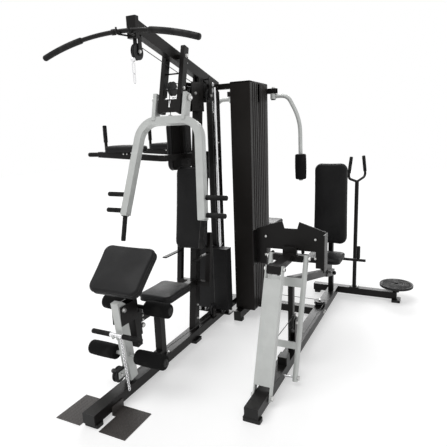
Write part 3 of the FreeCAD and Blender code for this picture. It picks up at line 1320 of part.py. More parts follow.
def back_station_frame():
    """Post, backrest stem and butterfly head behind the side stack, and the seat socket."""
    y0 = COVER_Y1 + GAP
    head_low = BUTTERFLY_Z + HUB_HALF + GAP
    stem = box(BACK_X - 25, BACK_X + 25, BUTTERFLY_Y - 30, BUTTERFLY_Y + 30, RAIL_TOP, head_low)
    core = box(BACK_X - 22, BACK_X + 22, BUTTERFLY_Y - 27, BUTTERFLY_Y + 27, RAIL_TOP, head_low - WALL)
    stem = stem.cut(core)
    head = beam(V(BACK_X - BUTTERFLY_X - 30, BUTTERFLY_Y, head_low + 20),
                V(BACK_X + BUTTERFLY_X + 30, BUTTERFLY_Y, head_low + 20), BACK, 44, 40)
    fin = box(BACK_X - 12, BACK_X + 12, y0, BUTTERFLY_Y - 30, 1700, 1740)
    ribs = box(BACK_X - 20, BACK_X + 20, BUTTERFLY_Y + 30, BUTTERFLY_Y + 46 - GAP, 900, 1320)
    socket = box(BACK_X - 28, BACK_X + 28, BACK_SEAT_Y - 28, BACK_SEAT_Y + 28, RAIL_TOP, 420)
    inner = 22 + GAP
    socket = socket.cut(box(BACK_X - inner, BACK_X + inner, BACK_SEAT_Y - inner, BACK_SEAT_Y + inner,
                            RAIL_TOP - 1, 421))
    pivots = []
    for side in (-1, 1):
        spot = V(BACK_X + side * BUTTERFLY_X, BUTTERFLY_Y, 0)
        pivots.append(rod(spot + UP * (BUTTERFLY_Z - HUB_HALF - 6), spot + UP * (head_low + 46), 9))
        pivots.append(rod(spot + UP * (BUTTERFLY_Z - HUB_HALF - 6), spot + UP * (BUTTERFLY_Z - HUB_HALF - GAP), 18))
    return group(join(stem, head, fin, ribs, *pivots), socket)


def butterfly_arm(side):
    """One arm: a hub on the upright pivot, a curved tube that drops outwards, and its foam roller."""
    pivot = V(BACK_X + side * BUTTERFLY_X, BUTTERFLY_Y, BUTTERFLY_Z)
    out = RIGHT * side
    hub = rod(pivot - UP * HUB_HALF, pivot + UP * HUB_HALF, 24)
    elbow = [pivot + out * 12, pivot + out * 120, pivot + out * 222 - UP * 190, pivot + out * 230 - UP * 673]
    tube = swept_round(elbow, 90, 16)
    whole = join(hub, tube).cut(rod(pivot - UP * 40, pivot + UP * 60, 9 + RUN))
    drop = (elbow[3] - elbow[2]).normalize()
    foam = rod(elbow[2] + drop * FOAM_FROM, elbow[2] + drop * FOAM_TO, 46, 16.1)
    return group(largest(whole), largest(foam))


def back_seat():
    y = BACK_SEAT_Y
    post = box(BACK_X - 22, BACK_X + 22, y - 22, y + 22, 240, BACK_SEAT_Z - 60)
    plate = box(BACK_X - 80, BACK_X + 80, y - 90, y + 90, BACK_SEAT_Z - 60, BACK_SEAT_Z - 54)
    pad = cushion(BACK_X - 125, BACK_X + 125, y - 150, y + 150, BACK_SEAT_Z - 54 + GAP, BACK_SEAT_Z)
    return group(join(post, plate), pad)


# ---- twister ------------------------------------------------------------------------------------

def twister_hub():
    low = rod(V(DISC_X, REAR_BEAM_Y, RAIL_TOP), V(DISC_X, REAR_BEAM_Y, DISC_TOP - 42), 26)
    spindle = rod(V(DISC_X, REAR_BEAM_Y, DISC_TOP - 42), V(DISC_X, REAR_BEAM_Y, DISC_TOP - 12), 10)
    return join(low, spindle)


def twister_disc():
    centre = V(DISC_X, REAR_BEAM_Y, 0)
    disc = rod(centre + UP * (DISC_TOP - 28), centre + UP * DISC_TOP, DISC_R)
    skirt = rod(centre + UP * (DISC_TOP - 40), centre + UP * (DISC_TOP - 28), 60)
    disc = join(disc, skirt)
    return disc.cut(rod(centre + UP * (DISC_TOP - 60), centre + UP * (DISC_TOP - 11.7), 10 + RUN))


# ---- every node ---------------------------------------------------------------------------------

NODES = {
    "base_rails": base_rails,
    "rear_beam": rear_beam,
    "handle_post": handle_post,
    "foot_plates": foot_plates,
    "feet_and_end_caps": feet_and_end_caps,
    "main_upright": main_upright,
    "backrest_supports": backrest_supports,
    "rear_upright": rear_upright,
    "top_boom": top_boom,
    "top_cross_beam": top_cross_beam,
    "boom_bracket": boom_bracket,
    "pulley_brackets": pulley_brackets,
    "stack_bases": stack_bases,
    "guide_rods_and_axles": guide_rods_and_axles,
    "resting_plates": lambda: group(*resting_plates(FRONT_STACK, True), *resting_plates(SIDE_STACK, False)),
    "front_stack_plates": lambda: group(*lifted_plates(FRONT_STACK, True)),
    "side_stack_plates": lambda: group(*lifted_plates(SIDE_STACK, False)),
    "front_selector_pin": lambda: selector_pin(FRONT_STACK),
    "side_stack_cover": side_stack_cover,
    "seat_frame": seat_frame,
    "front_pads": lambda: group(seat_pad(), backrest_pad()),
    "station_pads": station_pads,
    "leg_developer": leg_developer,
    "lower_rollers": lower_rollers,
    "developer_cable": developer_cable,
    "preacher_post": preacher_post,
    "preacher_pad": preacher_pad,
    "preacher_knob": preacher_knob,
    "curl_bar": curl_bar,
    "press_arm": press_arm,
    "press_grips": press_grips,
    "lat_bar": lat_bar,
    "snap_hooks": snap_hooks,
    "knee_raise_frame": knee_raise_frame,
    "leg_front_lever": leg_front_lever,
    "leg_rear_lever": leg_rear_lever,
    "footplate": footplate,
    "leg_press_frame": leg_press_frame,
    "leg_seat_carriage": leg_seat_carriage,
    "leg_seat_pads": leg_seat_pads,
    "back_station_frame": back_station_frame,
    "butterfly_arm_right": lambda: butterfly_arm(1),
    "butterfly_arm_left": lambda: butterfly_arm(-1),
    "back_seat": back_seat,
    "twister_disc": twister_disc,
    "tower_cables": tower_cables,
    "front_stack_run": front_stack_run,
    "side_stack_run": side_stack_run,
    "leg_press_cable": leg_press_cable,
    "front_pulley": lambda: pulley(FRONT_PULLEY, RIGHT),
    "stack_pulleys": lambda: group(pulley(STACK_PULLEY, RIGHT), pulley(SECOND_PULLEY, RIGHT)),
    "press_pulley": lambda: pulley(MID_PULLEY, RIGHT),
    "gusset_pulley": lambda: pulley(GUSSET_PULLEY, RIGHT),
    "rail_pulley": lambda: pulley(RAIL_PULLEY, rail_pulley_axis()),
    "developer_pulley": lambda: pulley(DEV_PULLEY, RIGHT),
    "side_top_pulley": side_top_pulley,
    "corner_pulley": lambda: pulley(CORNER_PULLEY, UP),
    "side_low_pulley": lambda: pulley(SIDE_LOW_PULLEY, BACK),
    "leg_low_pulley": lambda: pulley(LEG_LOW_PULLEY, RIGHT),
    "leg_mid_pulley": lambda: pulley(LEG_MID_PULLEY, RIGHT),
}


def main():
    os.makedirs("parts", exist_ok=True)
    for name, build in NODES.items():
        shape = build()
        if not shape.isValid():
            print("invalid", name)
        box_of = shape.BoundBox
        print(f"{name:24s} solids {len(shape.Solids):3d} volume {shape.Volume / 1000:10.1f} "
              f"x {box_of.XMin:7.1f} {box_of.XMax:7.1f} y {box_of.YMin:7.1f} {box_of.YMax:7.1f} "
              f"z {box_of.ZMin:7.1f} {box_of.ZMax:7.1f}")
        shape.exportStep(f"parts/{name}.step")


main()
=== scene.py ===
import json
import math

import bmesh
import bpy
from mathutils import Matrix, Vector, noise


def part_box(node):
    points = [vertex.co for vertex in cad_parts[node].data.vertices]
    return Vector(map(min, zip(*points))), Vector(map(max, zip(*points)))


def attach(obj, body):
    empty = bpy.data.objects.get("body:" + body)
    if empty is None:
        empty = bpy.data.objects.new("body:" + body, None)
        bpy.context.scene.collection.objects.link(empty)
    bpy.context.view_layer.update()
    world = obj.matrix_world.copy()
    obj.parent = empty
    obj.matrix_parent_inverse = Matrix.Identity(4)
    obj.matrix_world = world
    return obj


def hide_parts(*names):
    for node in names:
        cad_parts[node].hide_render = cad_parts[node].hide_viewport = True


# Multi station home gym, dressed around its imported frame. Metres, +Z up, the front station faces -Y.

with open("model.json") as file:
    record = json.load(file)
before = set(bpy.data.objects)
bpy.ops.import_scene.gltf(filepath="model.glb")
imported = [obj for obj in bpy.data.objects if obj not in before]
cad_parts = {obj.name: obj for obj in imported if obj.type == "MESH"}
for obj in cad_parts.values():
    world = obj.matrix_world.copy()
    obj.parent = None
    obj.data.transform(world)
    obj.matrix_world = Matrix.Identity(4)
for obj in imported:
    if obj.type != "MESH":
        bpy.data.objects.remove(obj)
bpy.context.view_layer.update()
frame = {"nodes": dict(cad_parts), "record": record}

RIGHT = Vector((1, 0, 0))
BACK = Vector((0, 1, 0))
UP = Vector((0, 0, 1))

# Tower
BOOM_TILT = math.radians(14.4)
BOOM_HEIGHT = 1.977
HANG = Vector((0, -math.sin(BOOM_TILT), -math.cos(BOOM_TILT)))
AHEAD = Vector((0, -math.cos(BOOM_TILT), math.sin(BOOM_TILT)))
BRACKET_Y = -0.028
AXLE_DROP = 0.273
PRESS_TOP = 0.141
PRESS_LEG_END = 0.764
PRESS_CORNER_X = 0.215
PRESS_LEG_X = 0.295
HANDLE_DROPS = (0.626, 0.734)
HANDLE_END = 0.449
HANDLE_ROOT = 0.029
PRESS_GRIP = 0.016

# Pulley axles on the tower, as y and z
FRONT_AXLE = (-0.434, 1.959432)
STACK_AXLE = (0.341, 1.760446)
GUSSET_AXLE = (0.165, 1.77)

# Front station
LEAN = math.radians(7.2)
UPRIGHT_LINE = Vector((0, math.sin(LEAN), math.cos(LEAN)))
PAD_FACE = Vector((0, -math.cos(LEAN), math.sin(LEAN)))
DEV_TILT = math.radians(7.6)
DEV_PIVOT = Vector((0, -0.774, 0.545))
DEV_DEPTH = 0.062
DEV_DOWN = Vector((0, math.sin(DEV_TILT), -math.cos(DEV_TILT)))
DEV_OUT = Vector((0, -math.cos(DEV_TILT), -math.sin(DEV_TILT)))
DEV_WHEEL = Vector((0, -0.822, 0.172))
PREACHER_LOW = Vector((0, -0.85, 0.672))
PREACHER_LINE = Vector((0, 1, 1)).normalized()
PREACHER_FACE = Vector((0, -1, 1)).normalized()
UPPER_ROLLER = Vector((0, -0.615, 0.505))
UPPER_ROLLER_END = 0.235
LOWER_ROLLER_DROP = 0.297
LOWER_ROLLER_END = 0.265
ROLLER_START = 0.07
ROLLER_RADIUS = 0.045
ROLLER_BORE = 0.0121

# Other stations
KNEE_ROWS = (-0.06, 0.49)
LEG_X = 0.762
LEVER_FEET = (-0.54, -0.285)
LEVER_FOOT_Z = 0.052
LEVER_TOP_STEP = Vector((0, 0.23, 0.672))
BACK_X = 0.15
BACK_SEAT_Y = 1.2
BUTTERFLY_X = 0.185
BUTTERFLY_Y = 0.905
BUTTERFLY_Z = 1.768
TWIST_CENTRE = Vector((1.297, 1.33, 0))
TWIST_TOP = 0.158
POST_TOP = Vector((0.94, 1.33, 1.05))
HORN_TURN = math.radians(27)
LAT_MIDDLE = Vector((-0.085, -0.52, 2.06))
LAT_HALF = 0.533
LAT_SAG = 0.085
LAT_BOW = (LAT_HALF ** 2 + LAT_SAG ** 2) / (2 * LAT_SAG)
LAT_RADIUS = 0.0125


def boom_axis(y):
    return Vector((0, y, BOOM_HEIGHT - y * math.tan(BOOM_TILT)))


def on_bracket(x, drop, ahead=0.0):
    return boom_axis(BRACKET_Y) + HANG * drop + AHEAD * ahead + RIGHT * x


def on_arm(x, drop):
    return on_bracket(x, AXLE_DROP + drop)


def press_leg_x(drop):
    spread = PRESS_LEG_X - PRESS_CORNER_X
    return PRESS_CORNER_X + spread * (drop - PRESS_TOP) / (PRESS_LEG_END - PRESS_TOP)


def upright_centre(z):
    return 0.04 + (z - 0.082) * math.tan(LEAN)


def developer_axis(drop):
    return DEV_PIVOT + DEV_DOWN * drop


def lat_point(along):
    angle = math.asin(along / LAT_BOW)
    return LAT_MIDDLE + Vector((LAT_BOW * math.sin(angle), 0, LAT_BOW * (math.cos(angle) - 1)))


# ---- finishes -----------------------------------------------------------------------------------

class Link:
    """One socket of a finish. Plain arithmetic on it adds Math nodes."""

    def __init__(self, finish, socket):
        self.finish = finish
        self.socket = socket

    def maths(self, operation, first, second):
        return self.finish.node("ShaderNodeMath", {"operation": operation}, {0: first, 1: second})

    def __add__(self, other):
        return self.maths("ADD", self, other)

    def __sub__(self, other):
        return self.maths("SUBTRACT", self, other)

    def __rsub__(self, other):
        return self.maths("SUBTRACT", other, self)

    def __mul__(self, other):
        return self.maths("MULTIPLY", self, other)

    __radd__ = __add__
    __rmul__ = __mul__


class Finish:
    """A material built from nodes."""

    def __init__(self, name):
        self.material = bpy.data.materials.new(name)
        self.material.use_nodes = True
        self.tree = self.material.node_tree
        self.shader = self.tree.nodes["Principled BSDF"]

    def node(self, kind, settings=None, sockets=None, out=0):
        made = self.tree.nodes.new(kind)
        for key, value in (settings or {}).items():
            if key == "stops":
                for stop, (place, colour) in zip(made.color_ramp.elements, value):
                    stop.position = place
                    stop.color = colour
            else:
                setattr(made, key, value)
        for key, value in (sockets or {}).items():
            if isinstance(value, Link):
                self.tree.links.new(value.socket, made.inputs[key])
            else:
                made.inputs[key].default_value = value
        return Link(self, made.outputs[out])

    def noise(self, place, scale, detail=3.0, roughness=0.5):
        return self.node("ShaderNodeTexNoise", {}, {"Vector": place, "Scale": scale, "Detail": detail,
                                                    "Roughness": roughness})

    def above(self, value, low, high):
        """0 below low and 1 above high."""
        return self.node("ShaderNodeMapRange", {"interpolation_type": "SMOOTHSTEP"},
                         {"Value": value, "From Min": low, "From Max": high})

    def blend(self, factor, first, second):
        return self.node("ShaderNodeMix", {"data_type": "RGBA"}, {0: factor, 6: first, 7: second}, out=2)

    def set(self, **sockets):
        for key, value in sockets.items():
            socket = self.shader.inputs[key.replace("_", " ")]
            if isinstance(value, Link):
                self.tree.links.new(value.socket, socket)
            else:
                socket.default_value = value

    def relief(self, height, strength, distance, under=None):
        sockets = {"Height": height, "Strength": strength, "Distance": distance}
        if under:
            sockets["Normal"] = under
        return self.node("ShaderNodeBump", {}, sockets)

    def soft_edges(self, radius):
        return self.node("ShaderNodeBevel", {"samples": 4}, {"Radius": radius})


def tone(r, g, b):
    return (r, g, b, 1.0)


def shade(colour, factor):
    return tone(*[min(1.0, c * factor) for c in colour[:3]])


def powder_coat(name, colour, rough, metal=0.0, wear=0.5, shine=0.16):
    """Sprayed powder paint: a fine pebble, faint clouding and rubbed patches."""
    f = Finish(name)
    place = f.node("ShaderNodeTexCoord", out="Object")
    pebble = f.noise(place, 1400, 2)
    cloud = f.noise(place, 7, 4, 0.6)
    rubbed = f.above(f.noise(place, 34, 6, 0.7), 0.6, 0.72) * wear
    dust = f.above(f.noise(place, 3.2, 5, 0.6), 0.45, 0.75)
    base = f.blend(cloud, shade(colour, 0.82), shade(colour, 1.2))
    base = f.blend(dust * 0.25, base, shade(colour, 1.5))
    base = f.blend(rubbed, base, shade(colour, 1.7))
    edges = f.soft_edges(0.0016)
    f.set(Base_Color=base, Roughness=cloud * 0.12 + rubbed * 0.14 + (rough - 0.06), Metallic=metal,
          Normal=f.relief(pebble, 0.22, 0.0006, edges))
    f.set(Specular_IOR_Level=shine)
    return f.material


def bright_metal(name, colour, rough, streak):
    """Plated or polished steel with fine draw lines and dull spots."""
    f = Finish(name)
    place = f.node("ShaderNodeTexCoord", out="Object")
    drawn = f.node("ShaderNodeMapping", {}, {"Vector": place, "Scale": streak})
    lines = f.noise(drawn, 60, 3)
    spots = f.above(f.noise(place, 55, 5, 0.65), 0.55, 0.75)
    base = f.blend(spots * 0.5, colour, shade(colour, 0.72))
    f.set(Base_Color=base, Metallic=1.0, Roughness=lines * 0.1 + spots * 0.18 + rough,
          Normal=f.relief(lines, 0.08, 0.0004, f.soft_edges(0.0008)))
    return f.material


def vinyl_cover():
    """Soft black upholstery vinyl: a pressed leather grain, creases and a worn sheen."""
    f = Finish("pad_vinyl")
    place = f.node("ShaderNodeTexCoord", out="Object")
    warp = f.noise(place, 160, 2)
    cells = f.node("ShaderNodeTexVoronoi", {"feature": "DISTANCE_TO_EDGE"},
                   {"Vector": place, "Scale": 620.0})
    grain = f.above(cells, 0.0, 0.16) * 0.8 + warp * 0.4
    cloud = f.noise(place, 11, 4, 0.6)
    polish = f.above(f.noise(place, 4.5, 3), 0.42, 0.68)
    base = f.blend(cloud, tone(0.003, 0.003, 0.0034), tone(0.008, 0.0077, 0.0082))
    base = f.blend(polish * 0.45, base, tone(0.012, 0.0117, 0.0122))
    creases = f.noise(place, 26, 5, 0.62)
    f.set(Base_Color=base, Roughness=0.5 - polish * 0.12 - cloud * 0.08,
          Normal=f.relief(grain, 0.35, 0.0005, f.relief(creases, 0.25, 0.0035)))
    f.set(Specular_IOR_Level=0.17)
    return f.material


def foam_rubber():
    """Closed cell foam sleeve with fine pores and handling marks."""
    f = Finish("roller_foam")
    place = f.node("ShaderNodeTexCoord", out="Object")
    pores = f.node("ShaderNodeTexVoronoi", {}, {"Vector": place, "Scale": 900.0})
    lumps = f.noise(place, 40, 4, 0.6)
    worn = f.above(f.noise(place, 14, 4), 0.5, 0.75)
    base = f.blend(worn * 0.7, tone(0.006, 0.006, 0.006), tone(0.014, 0.0135, 0.013))
    f.set(Base_Color=base, Roughness=0.9 - worn * 0.12,
          Normal=f.relief(pores, 0.4, 0.0004, f.relief(lumps, 0.3, 0.0012)))
    f.set(Specular_IOR_Level=0.12)
    return f.material


def grip_rubber():
    """Dense hand grip rubber, polished where it is held."""
    f = Finish("grip_rubber")
    place = f.node("ShaderNodeTexCoord", out="Object")
    held = f.above(f.noise(place, 22, 4), 0.42, 0.66)
    fine = f.noise(place, 900, 2)
    base = f.blend(held, tone(0.006, 0.006, 0.006), tone(0.013, 0.0125, 0.012))
    f.set(Base_Color=base, Roughness=0.66 - held * 0.2, Normal=f.relief(fine, 0.3, 0.0004))
    f.set(Specular_IOR_Level=0.2)
    return f.material


def moulded(name, colour, rough):
    """Moulded plastic with a faint flow pattern and scuffs."""
    f = Finish(name)
    place = f.node("ShaderNodeTexCoord", out="Object")
    flow = f.noise(place, 18, 4, 0.6)
    spark = f.noise(place, 700, 2)
    scuffs = f.above(f.noise(place, 75, 6, 0.72), 0.6, 0.7)
    base = f.blend(flow, shade(colour, 0.75), shade(colour, 1.3))
    base = f.blend(scuffs * 0.4, base, shade(colour, 2.2))
    f.set(Base_Color=base, Roughness=flow * 0.1 + scuffs * 0.15 + rough,
          Normal=f.relief(spark, 0.18, 0.0004, f.soft_edges(0.0012)))
    f.set(Specular_IOR_Level=0.25)
    return f.material


def cable_jacket():
    """Nylon jacket over a wire rope: the strands show through as a fine twist."""
    f = Finish("cable_jacket")
    place = f.node("ShaderNodeTexCoord", out="Object")
    twist = f.node("ShaderNodeTexWave", {"bands_direction": "DIAGONAL"},
                   {"Vector": place, "Scale": 260.0, "Distortion": 0.6})
    grime = f.noise(place, 30, 4)
    base = f.blend(grime, tone(0.006, 0.006, 0.006), tone(0.016, 0.0155, 0.015))
    f.set(Base_Color=base, Roughness=grime * 0.2 + 0.25, Normal=f.relief(twist, 0.25, 0.0005))
    return f.material


def tread_steel():
    """Foot plate paint, dusty grey in the hollows and rubbed thin on top."""
    f = Finish("tread_plate")
    place = f.node("ShaderNodeTexCoord", out="Object")
    dirt = f.noise(place, 24, 6, 0.66)
    fine = f.noise(place, 420, 3)
    worn = f.above(f.noise(place, 60, 5, 0.7), 0.52, 0.68)
    base = f.blend(dirt, tone(0.022, 0.019, 0.018), tone(0.05, 0.044, 0.041))
    base = f.blend(worn * 0.4, base, tone(0.1, 0.09, 0.083))
    f.set(Base_Color=base, Roughness=dirt * 0.2 + 0.45, Metallic=worn * 0.3,
          Normal=f.relief(fine, 0.3, 0.0005, f.soft_edges(0.0006)))
    return f.material


def stitching_thread():
    f = Finish("stitching_thread")
    place = f.node("ShaderNodeTexCoord", out="Object")
    ply = f.noise(place, 1500, 2)
    base = f.blend(ply, tone(0.03, 0.03, 0.03), tone(0.09, 0.088, 0.085))
    f.set(Base_Color=base, Roughness=0.85, Normal=f.relief(ply, 0.5, 0.0003))
    return f.material


FRAME_COAT = powder_coat("frame_powder_coat", tone(0.0075, 0.0068, 0.0065), 0.36, wear=0.35)
SILVER_COAT = powder_coat("silver_arm_paint", tone(0.5, 0.513, 0.5), 0.36, metal=0.12, wear=0.12,
                          shine=0.45)
COVER_COAT = powder_coat("stack_cover_paint", tone(0.011, 0.0095, 0.0085), 0.4, wear=0.2)
PLATE_COAT = powder_coat("weight_plate_paint", tone(0.010, 0.010, 0.0105), 0.5, wear=0.6)
CHROME = bright_metal("polished_chrome", tone(0.8, 0.8, 0.81), 0.1, (1, 1, 0.08))
ZINC = bright_metal("zinc_plate", tone(0.56, 0.56, 0.55), 0.28, (1, 1, 1))
TREAD = tread_steel()
VINYL = vinyl_cover()
FOAM = foam_rubber()
GRIP = grip_rubber()
NYLON = moulded("pulley_nylon", tone(0.009, 0.009, 0.0095), 0.36)
CAP = moulded("cap_plastic", tone(0.008, 0.008, 0.008), 0.42)
JACKET = cable_jacket()
THREAD = stitching_thread()

FINISHES = {"frame_coat": FRAME_COAT, "silver_coat": SILVER_COAT, "cover_coat": COVER_COAT,
            "plate_coat": PLATE_COAT, "chrome": CHROME, "zinc": ZINC, "tread": TREAD, "vinyl": VINYL,
            "foam": FOAM, "grip": GRIP, "pulley_plastic": NYLON, "cap_plastic": CAP, "cable_jacket": JACKET}


def dress_frame():
    """Gives every CAD node the finish of its own slot."""
    for row in frame["record"]["subparts"]:
        node = frame["nodes"][row["node"]]
        finish = FINISHES[row["material_slot"]]
        if not node.material_slots:
            node.data.materials.append(finish)
        for place in node.material_slots:
            place.material = finish


# ---- shapes -------------------------------------------------------------------------------------

# The eased end of a round bar: its share of the radius, and its rise as a share of the radius
END_SHARE = 0.8
END_RISE = 0.15


def square_to(axis):
    """Two directions square to an axis and to each other."""
    axis = axis.normalized()
    side = axis.cross(UP if abs(axis.z) < 0.9 else RIGHT).normalized()
    return side, axis.cross(side)


class Shape:
    """Points and faces collected for one piece."""

    def __init__(self):
        self.points = []
        self.faces = []

    def add(self, points, faces):
        first = len(self.points)
        self.points.extend(points)
        self.faces.extend([[first + index for index in face] for face in faces])

    def rings(self, rings):
        """A skin over closed rings of equal count, with a flat face on each end."""
        count = len(rings[0])
        faces = []
        for row in range(len(rings) - 1):
            for index in range(count):
                after = (index + 1) % count
                faces.append([row * count + index, row * count + after,
                              (row + 1) * count + after, (row + 1) * count + index])
        faces.append(list(range(count))[::-1])
        faces.append([(len(rings) - 1) * count + index for index in range(count)])
        self.add([point for ring in rings for point in ring], faces)

    def turned(self, start, axis, profile, sides=48):
        """A turned piece. The profile is pairs of distance along the axis and radius."""
        axis = axis.normalized()
        side, over = square_to(axis)
        turn = [2 * math.pi * index / sides for index in range(sides)]
        rings = []
        for along, radius in profile:
            rings.append([start + axis * along + side * (radius * math.cos(a))
                          + over * (radius * math.sin(a)) for a in turn])
        self.rings(rings)

    def tube(self, route, radius, sides=24):
        """A round bar along a route, with eased ends."""
        heading = (route[1] - route[0]).normalized()
        side, over = square_to(heading)
        rings = []
        for index, spot in enumerate(route):
            before = route[max(index - 1, 0)]
            after = route[min(index + 1, len(route) - 1)]
            fresh = (after - before).normalized()
            turn = heading.rotation_difference(fresh)
            side.rotate(turn)
            over.rotate(turn)
            heading = fresh
            rings.append([spot + side * (radius * math.cos(2 * math.pi * k / sides))
                          + over * (radius * math.sin(2 * math.pi * k / sides)) for k in range(sides)])
        head = (route[1] - route[0]).normalized() * radius * END_RISE
        tail = (route[-1] - route[-2]).normalized() * radius * END_RISE
        first = [route[0] + (point - route[0]) * END_SHARE - head for point in rings[0]]
        last = [route[-1] + (point - route[-1]) * END_SHARE + tail for point in rings[-1]]
        self.rings([first] + rings + [last])

    def block(self, centre, across, along, out, sizes):
        width, length, height = sizes
        points = []
        for a in (-0.5, 0.5):
            for b in (-0.5, 0.5):
                for c in (-0.5, 0.5):
                    points.append(centre + across * (a * width) + along * (b * length) + out * (c * height))
        self.add(points, [[0, 1, 3, 2], [4, 6, 7, 5], [0, 4, 5, 1],
                          [2, 3, 7, 6], [0, 2, 6, 4], [1, 5, 7, 3]])

    def hex_head(self, at, out, flats=0.019, height=0.008):
        """A washer and a chamfered hexagon, from a face outwards."""
        washer = flats * 0.62
        self.turned(at, out, [(0, washer * 0.5), (0, washer), (0.0016, washer), (0.0018, washer * 0.5)], 28)
        radius = flats / math.sqrt(3)
        self.turned(at + out * 0.0017, out, [(0, radius * 0.9), (0, radius), (height * 0.82, radius),
                                             (height, radius * 0.86), (height, radius * 0.3)], 6)


def eased(points, reach=0.5, steps=8):
    """A route through the points whose corners are rounded by a share of their shorter side."""
    route = [points[0]]
    for before, corner, after in zip(points, points[1:], points[2:]):
        cut = reach * min((before - corner).length, (after - corner).length)
        first = corner + (before - corner).normalized() * cut
        last = corner + (after - corner).normalized() * cut
        for step in range(steps + 1):
            t = step / steps
            route.append(first * (1 - t) ** 2 + corner * (2 * t * (1 - t)) + last * t ** 2)
    return route + [points[-1]]


def piece(name, shape, body, slot, finish=None, stands_for=(), bevel=0.0, subdivide=0, sharp=38):
    """Turns a shape into an object that rides on a body."""
    mesh = bpy.data.meshes.new(name)
    mesh.from_pydata([tuple(point) for point in shape.points], [], shape.faces)
    form = bmesh.new()
    form.from_mesh(mesh)
    bmesh.ops.remove_doubles(form, verts=form.verts, dist=1e-6)
    bmesh.ops.recalc_face_normals(form, faces=form.faces)
    for face in form.faces:
        face.smooth = True
    for edge in form.edges:
        edge.smooth = edge.calc_face_angle(0.0) < math.radians(sharp)
    form.to_mesh(mesh)
    form.free()
    mesh.materials.append(finish or FINISHES[slot])
    item = bpy.data.objects.new(name, mesh)
    bpy.context.scene.collection.objects.link(item)
    if bevel:
        rounding = item.modifiers.new("rounding", "BEVEL")
        rounding.width = bevel
        rounding.segments = 3
        rounding.limit_method = "ANGLE"
        rounding.harden_normals = True
    if subdivide:
        item.modifiers.new("fine", "SUBSURF").levels = subdivide
        item.modifiers["fine"].render_levels = subdivide
    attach(item, body)
    if stands_for:
        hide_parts(*stands_for)
    return item


# ---- cushions -----------------------------------------------------------------------------------

CORNER_STEPS = 9
SIDE_STEPS = 12
SHOULDER_STEPS = 6
CROWN_STEPS = 9
CORNER_PLEATS = 3
PLEAT_DEPTH = 0.0011
SIDE_PULL = 0.0028
BORDER_INSET = 0.0026
RIPPLE = 0.0011
STITCH_INSET = 0.0024
STITCH_RISE = 0.0075


def pad_outline(half_width, half_length, corner):
    """A rounded rectangle, as rows of x, y, outward x, outward y, pull share and pleat share."""
    rows = []
    corners = ((1, 1, 0), (-1, 1, 90), (-1, -1, 180), (1, -1, 270))
    for number, (sx, sy, start) in enumerate(corners):
        middle_x = sx * (half_width - corner)
        middle_y = sy * (half_length - corner)
        for step in range(CORNER_STEPS):
            share = step / (CORNER_STEPS - 1)
            angle = math.radians(start + 90 * share)
            nx = math.cos(angle)
            ny = math.sin(angle)
            pleat = 0.5 - 0.5 * math.cos(2 * math.pi * CORNER_PLEATS * share)
            rows.append((middle_x + corner * nx, middle_y + corner * ny, nx, ny, 0.0, pleat))
        after = corners[(number + 1) % 4]
        angle = math.radians(start + 90)
        nx = math.cos(angle)
        ny = math.sin(angle)
        first = (middle_x + corner * nx, middle_y + corner * ny)
        last = (after[0] * (half_width - corner) + corner * nx,
                after[1] * (half_length - corner) + corner * ny)
        for step in range(1, SIDE_STEPS):
            share = step / SIDE_STEPS
            pull = math.sin(math.pi * share) ** 0.7
            rows.append((first[0] + (last[0] - first[0]) * share, first[1] + (last[1] - first[1]) * share,
                         nx, ny, pull, 0.0))
    return rows


def cushion(name, body, base, across, along, out, size, corner, stands_for, crown=0.007, taper=0.0):
    """An upholstered pad: flat board side, tucked border, piped seam and a crowned face.

    base is the middle of its flat side, and size is width, length and thickness. A taper narrows its
    far end."""
    width, length, depth = size
    shoulder = min(0.017, depth * 0.34)
    seam = depth * 0.5
    edge = depth - crown
    profile = [(0.012, 0.0), (0.005, 0.0006), (0.002, 0.003), (0.0022, 0.008), (0.0034, seam * 0.6),
               (0.0034, seam - 0.006), (0.0042, seam - 0.0026), (0.001, seam - 0.0016), (0.0, seam),
               (0.001, seam + 0.0016), (0.0042, seam + 0.0026), (0.003, seam + 0.005)]
    for step in range(SHOULDER_STEPS + 1):
        angle = math.pi / 2 * step / SHOULDER_STEPS
        profile.append((BORDER_INSET + shoulder * (1 - math.cos(angle)),
                        edge - shoulder + shoulder * math.sin(angle)))
    inner = shoulder + BORDER_INSET
    rows = pad_outline(width / 2, length / 2, corner)
    seed = sum(ord(letter) for letter in name)

    def lift(x, y, z):
        narrow = 1 - taper * (0.5 + y / length)
        return base + across * (x * narrow) + along * y + out * z

    rings = []
    for inset, height in profile:
        ring = []
        for x, y, nx, ny, pull, pleat in rows:
            tuck = inset + SIDE_PULL * pull * (1 if height > 0.004 else 0.3)
            if 0.004 < height < edge - shoulder * 0.4 and abs(height - seam) > 0.002:
                tuck += PLEAT_DEPTH * pleat
            ring.append(lift(x - nx * tuck, y - ny * tuck, height))
        rings.append(ring)
    for step in range(1, CROWN_STEPS + 1):
        share = step / (CROWN_STEPS + 0.35)
        ring = []
        for x, y, nx, ny, pull, pleat in rows:
            tuck = inner + SIDE_PULL * pull
            px = (x - nx * tuck) * (1 - share)
            py = (y - ny * tuck) * (1 - share)
            swell = edge + crown * (1 - (1 - share) ** 2)
            ripple = noise.noise(Vector((px * 16, py * 16, seed))) * RIPPLE * min(1.0, share * 3)
            ring.append(lift(px, py, min(swell + ripple, depth)))
        rings.append(ring)
    shape = Shape()
    shape.rings(rings)
    item = piece(name, shape, body, "vinyl", stands_for=stands_for, subdivide=1, sharp=75)
    loop = []
    for x, y, nx, ny, pull, pleat in rows:
        tuck = STITCH_INSET + SIDE_PULL * pull
        loop.append(lift(x - nx * tuck, y - ny * tuck, seam + STITCH_RISE))
    stitches(name + "_stitches", body, loop, out)


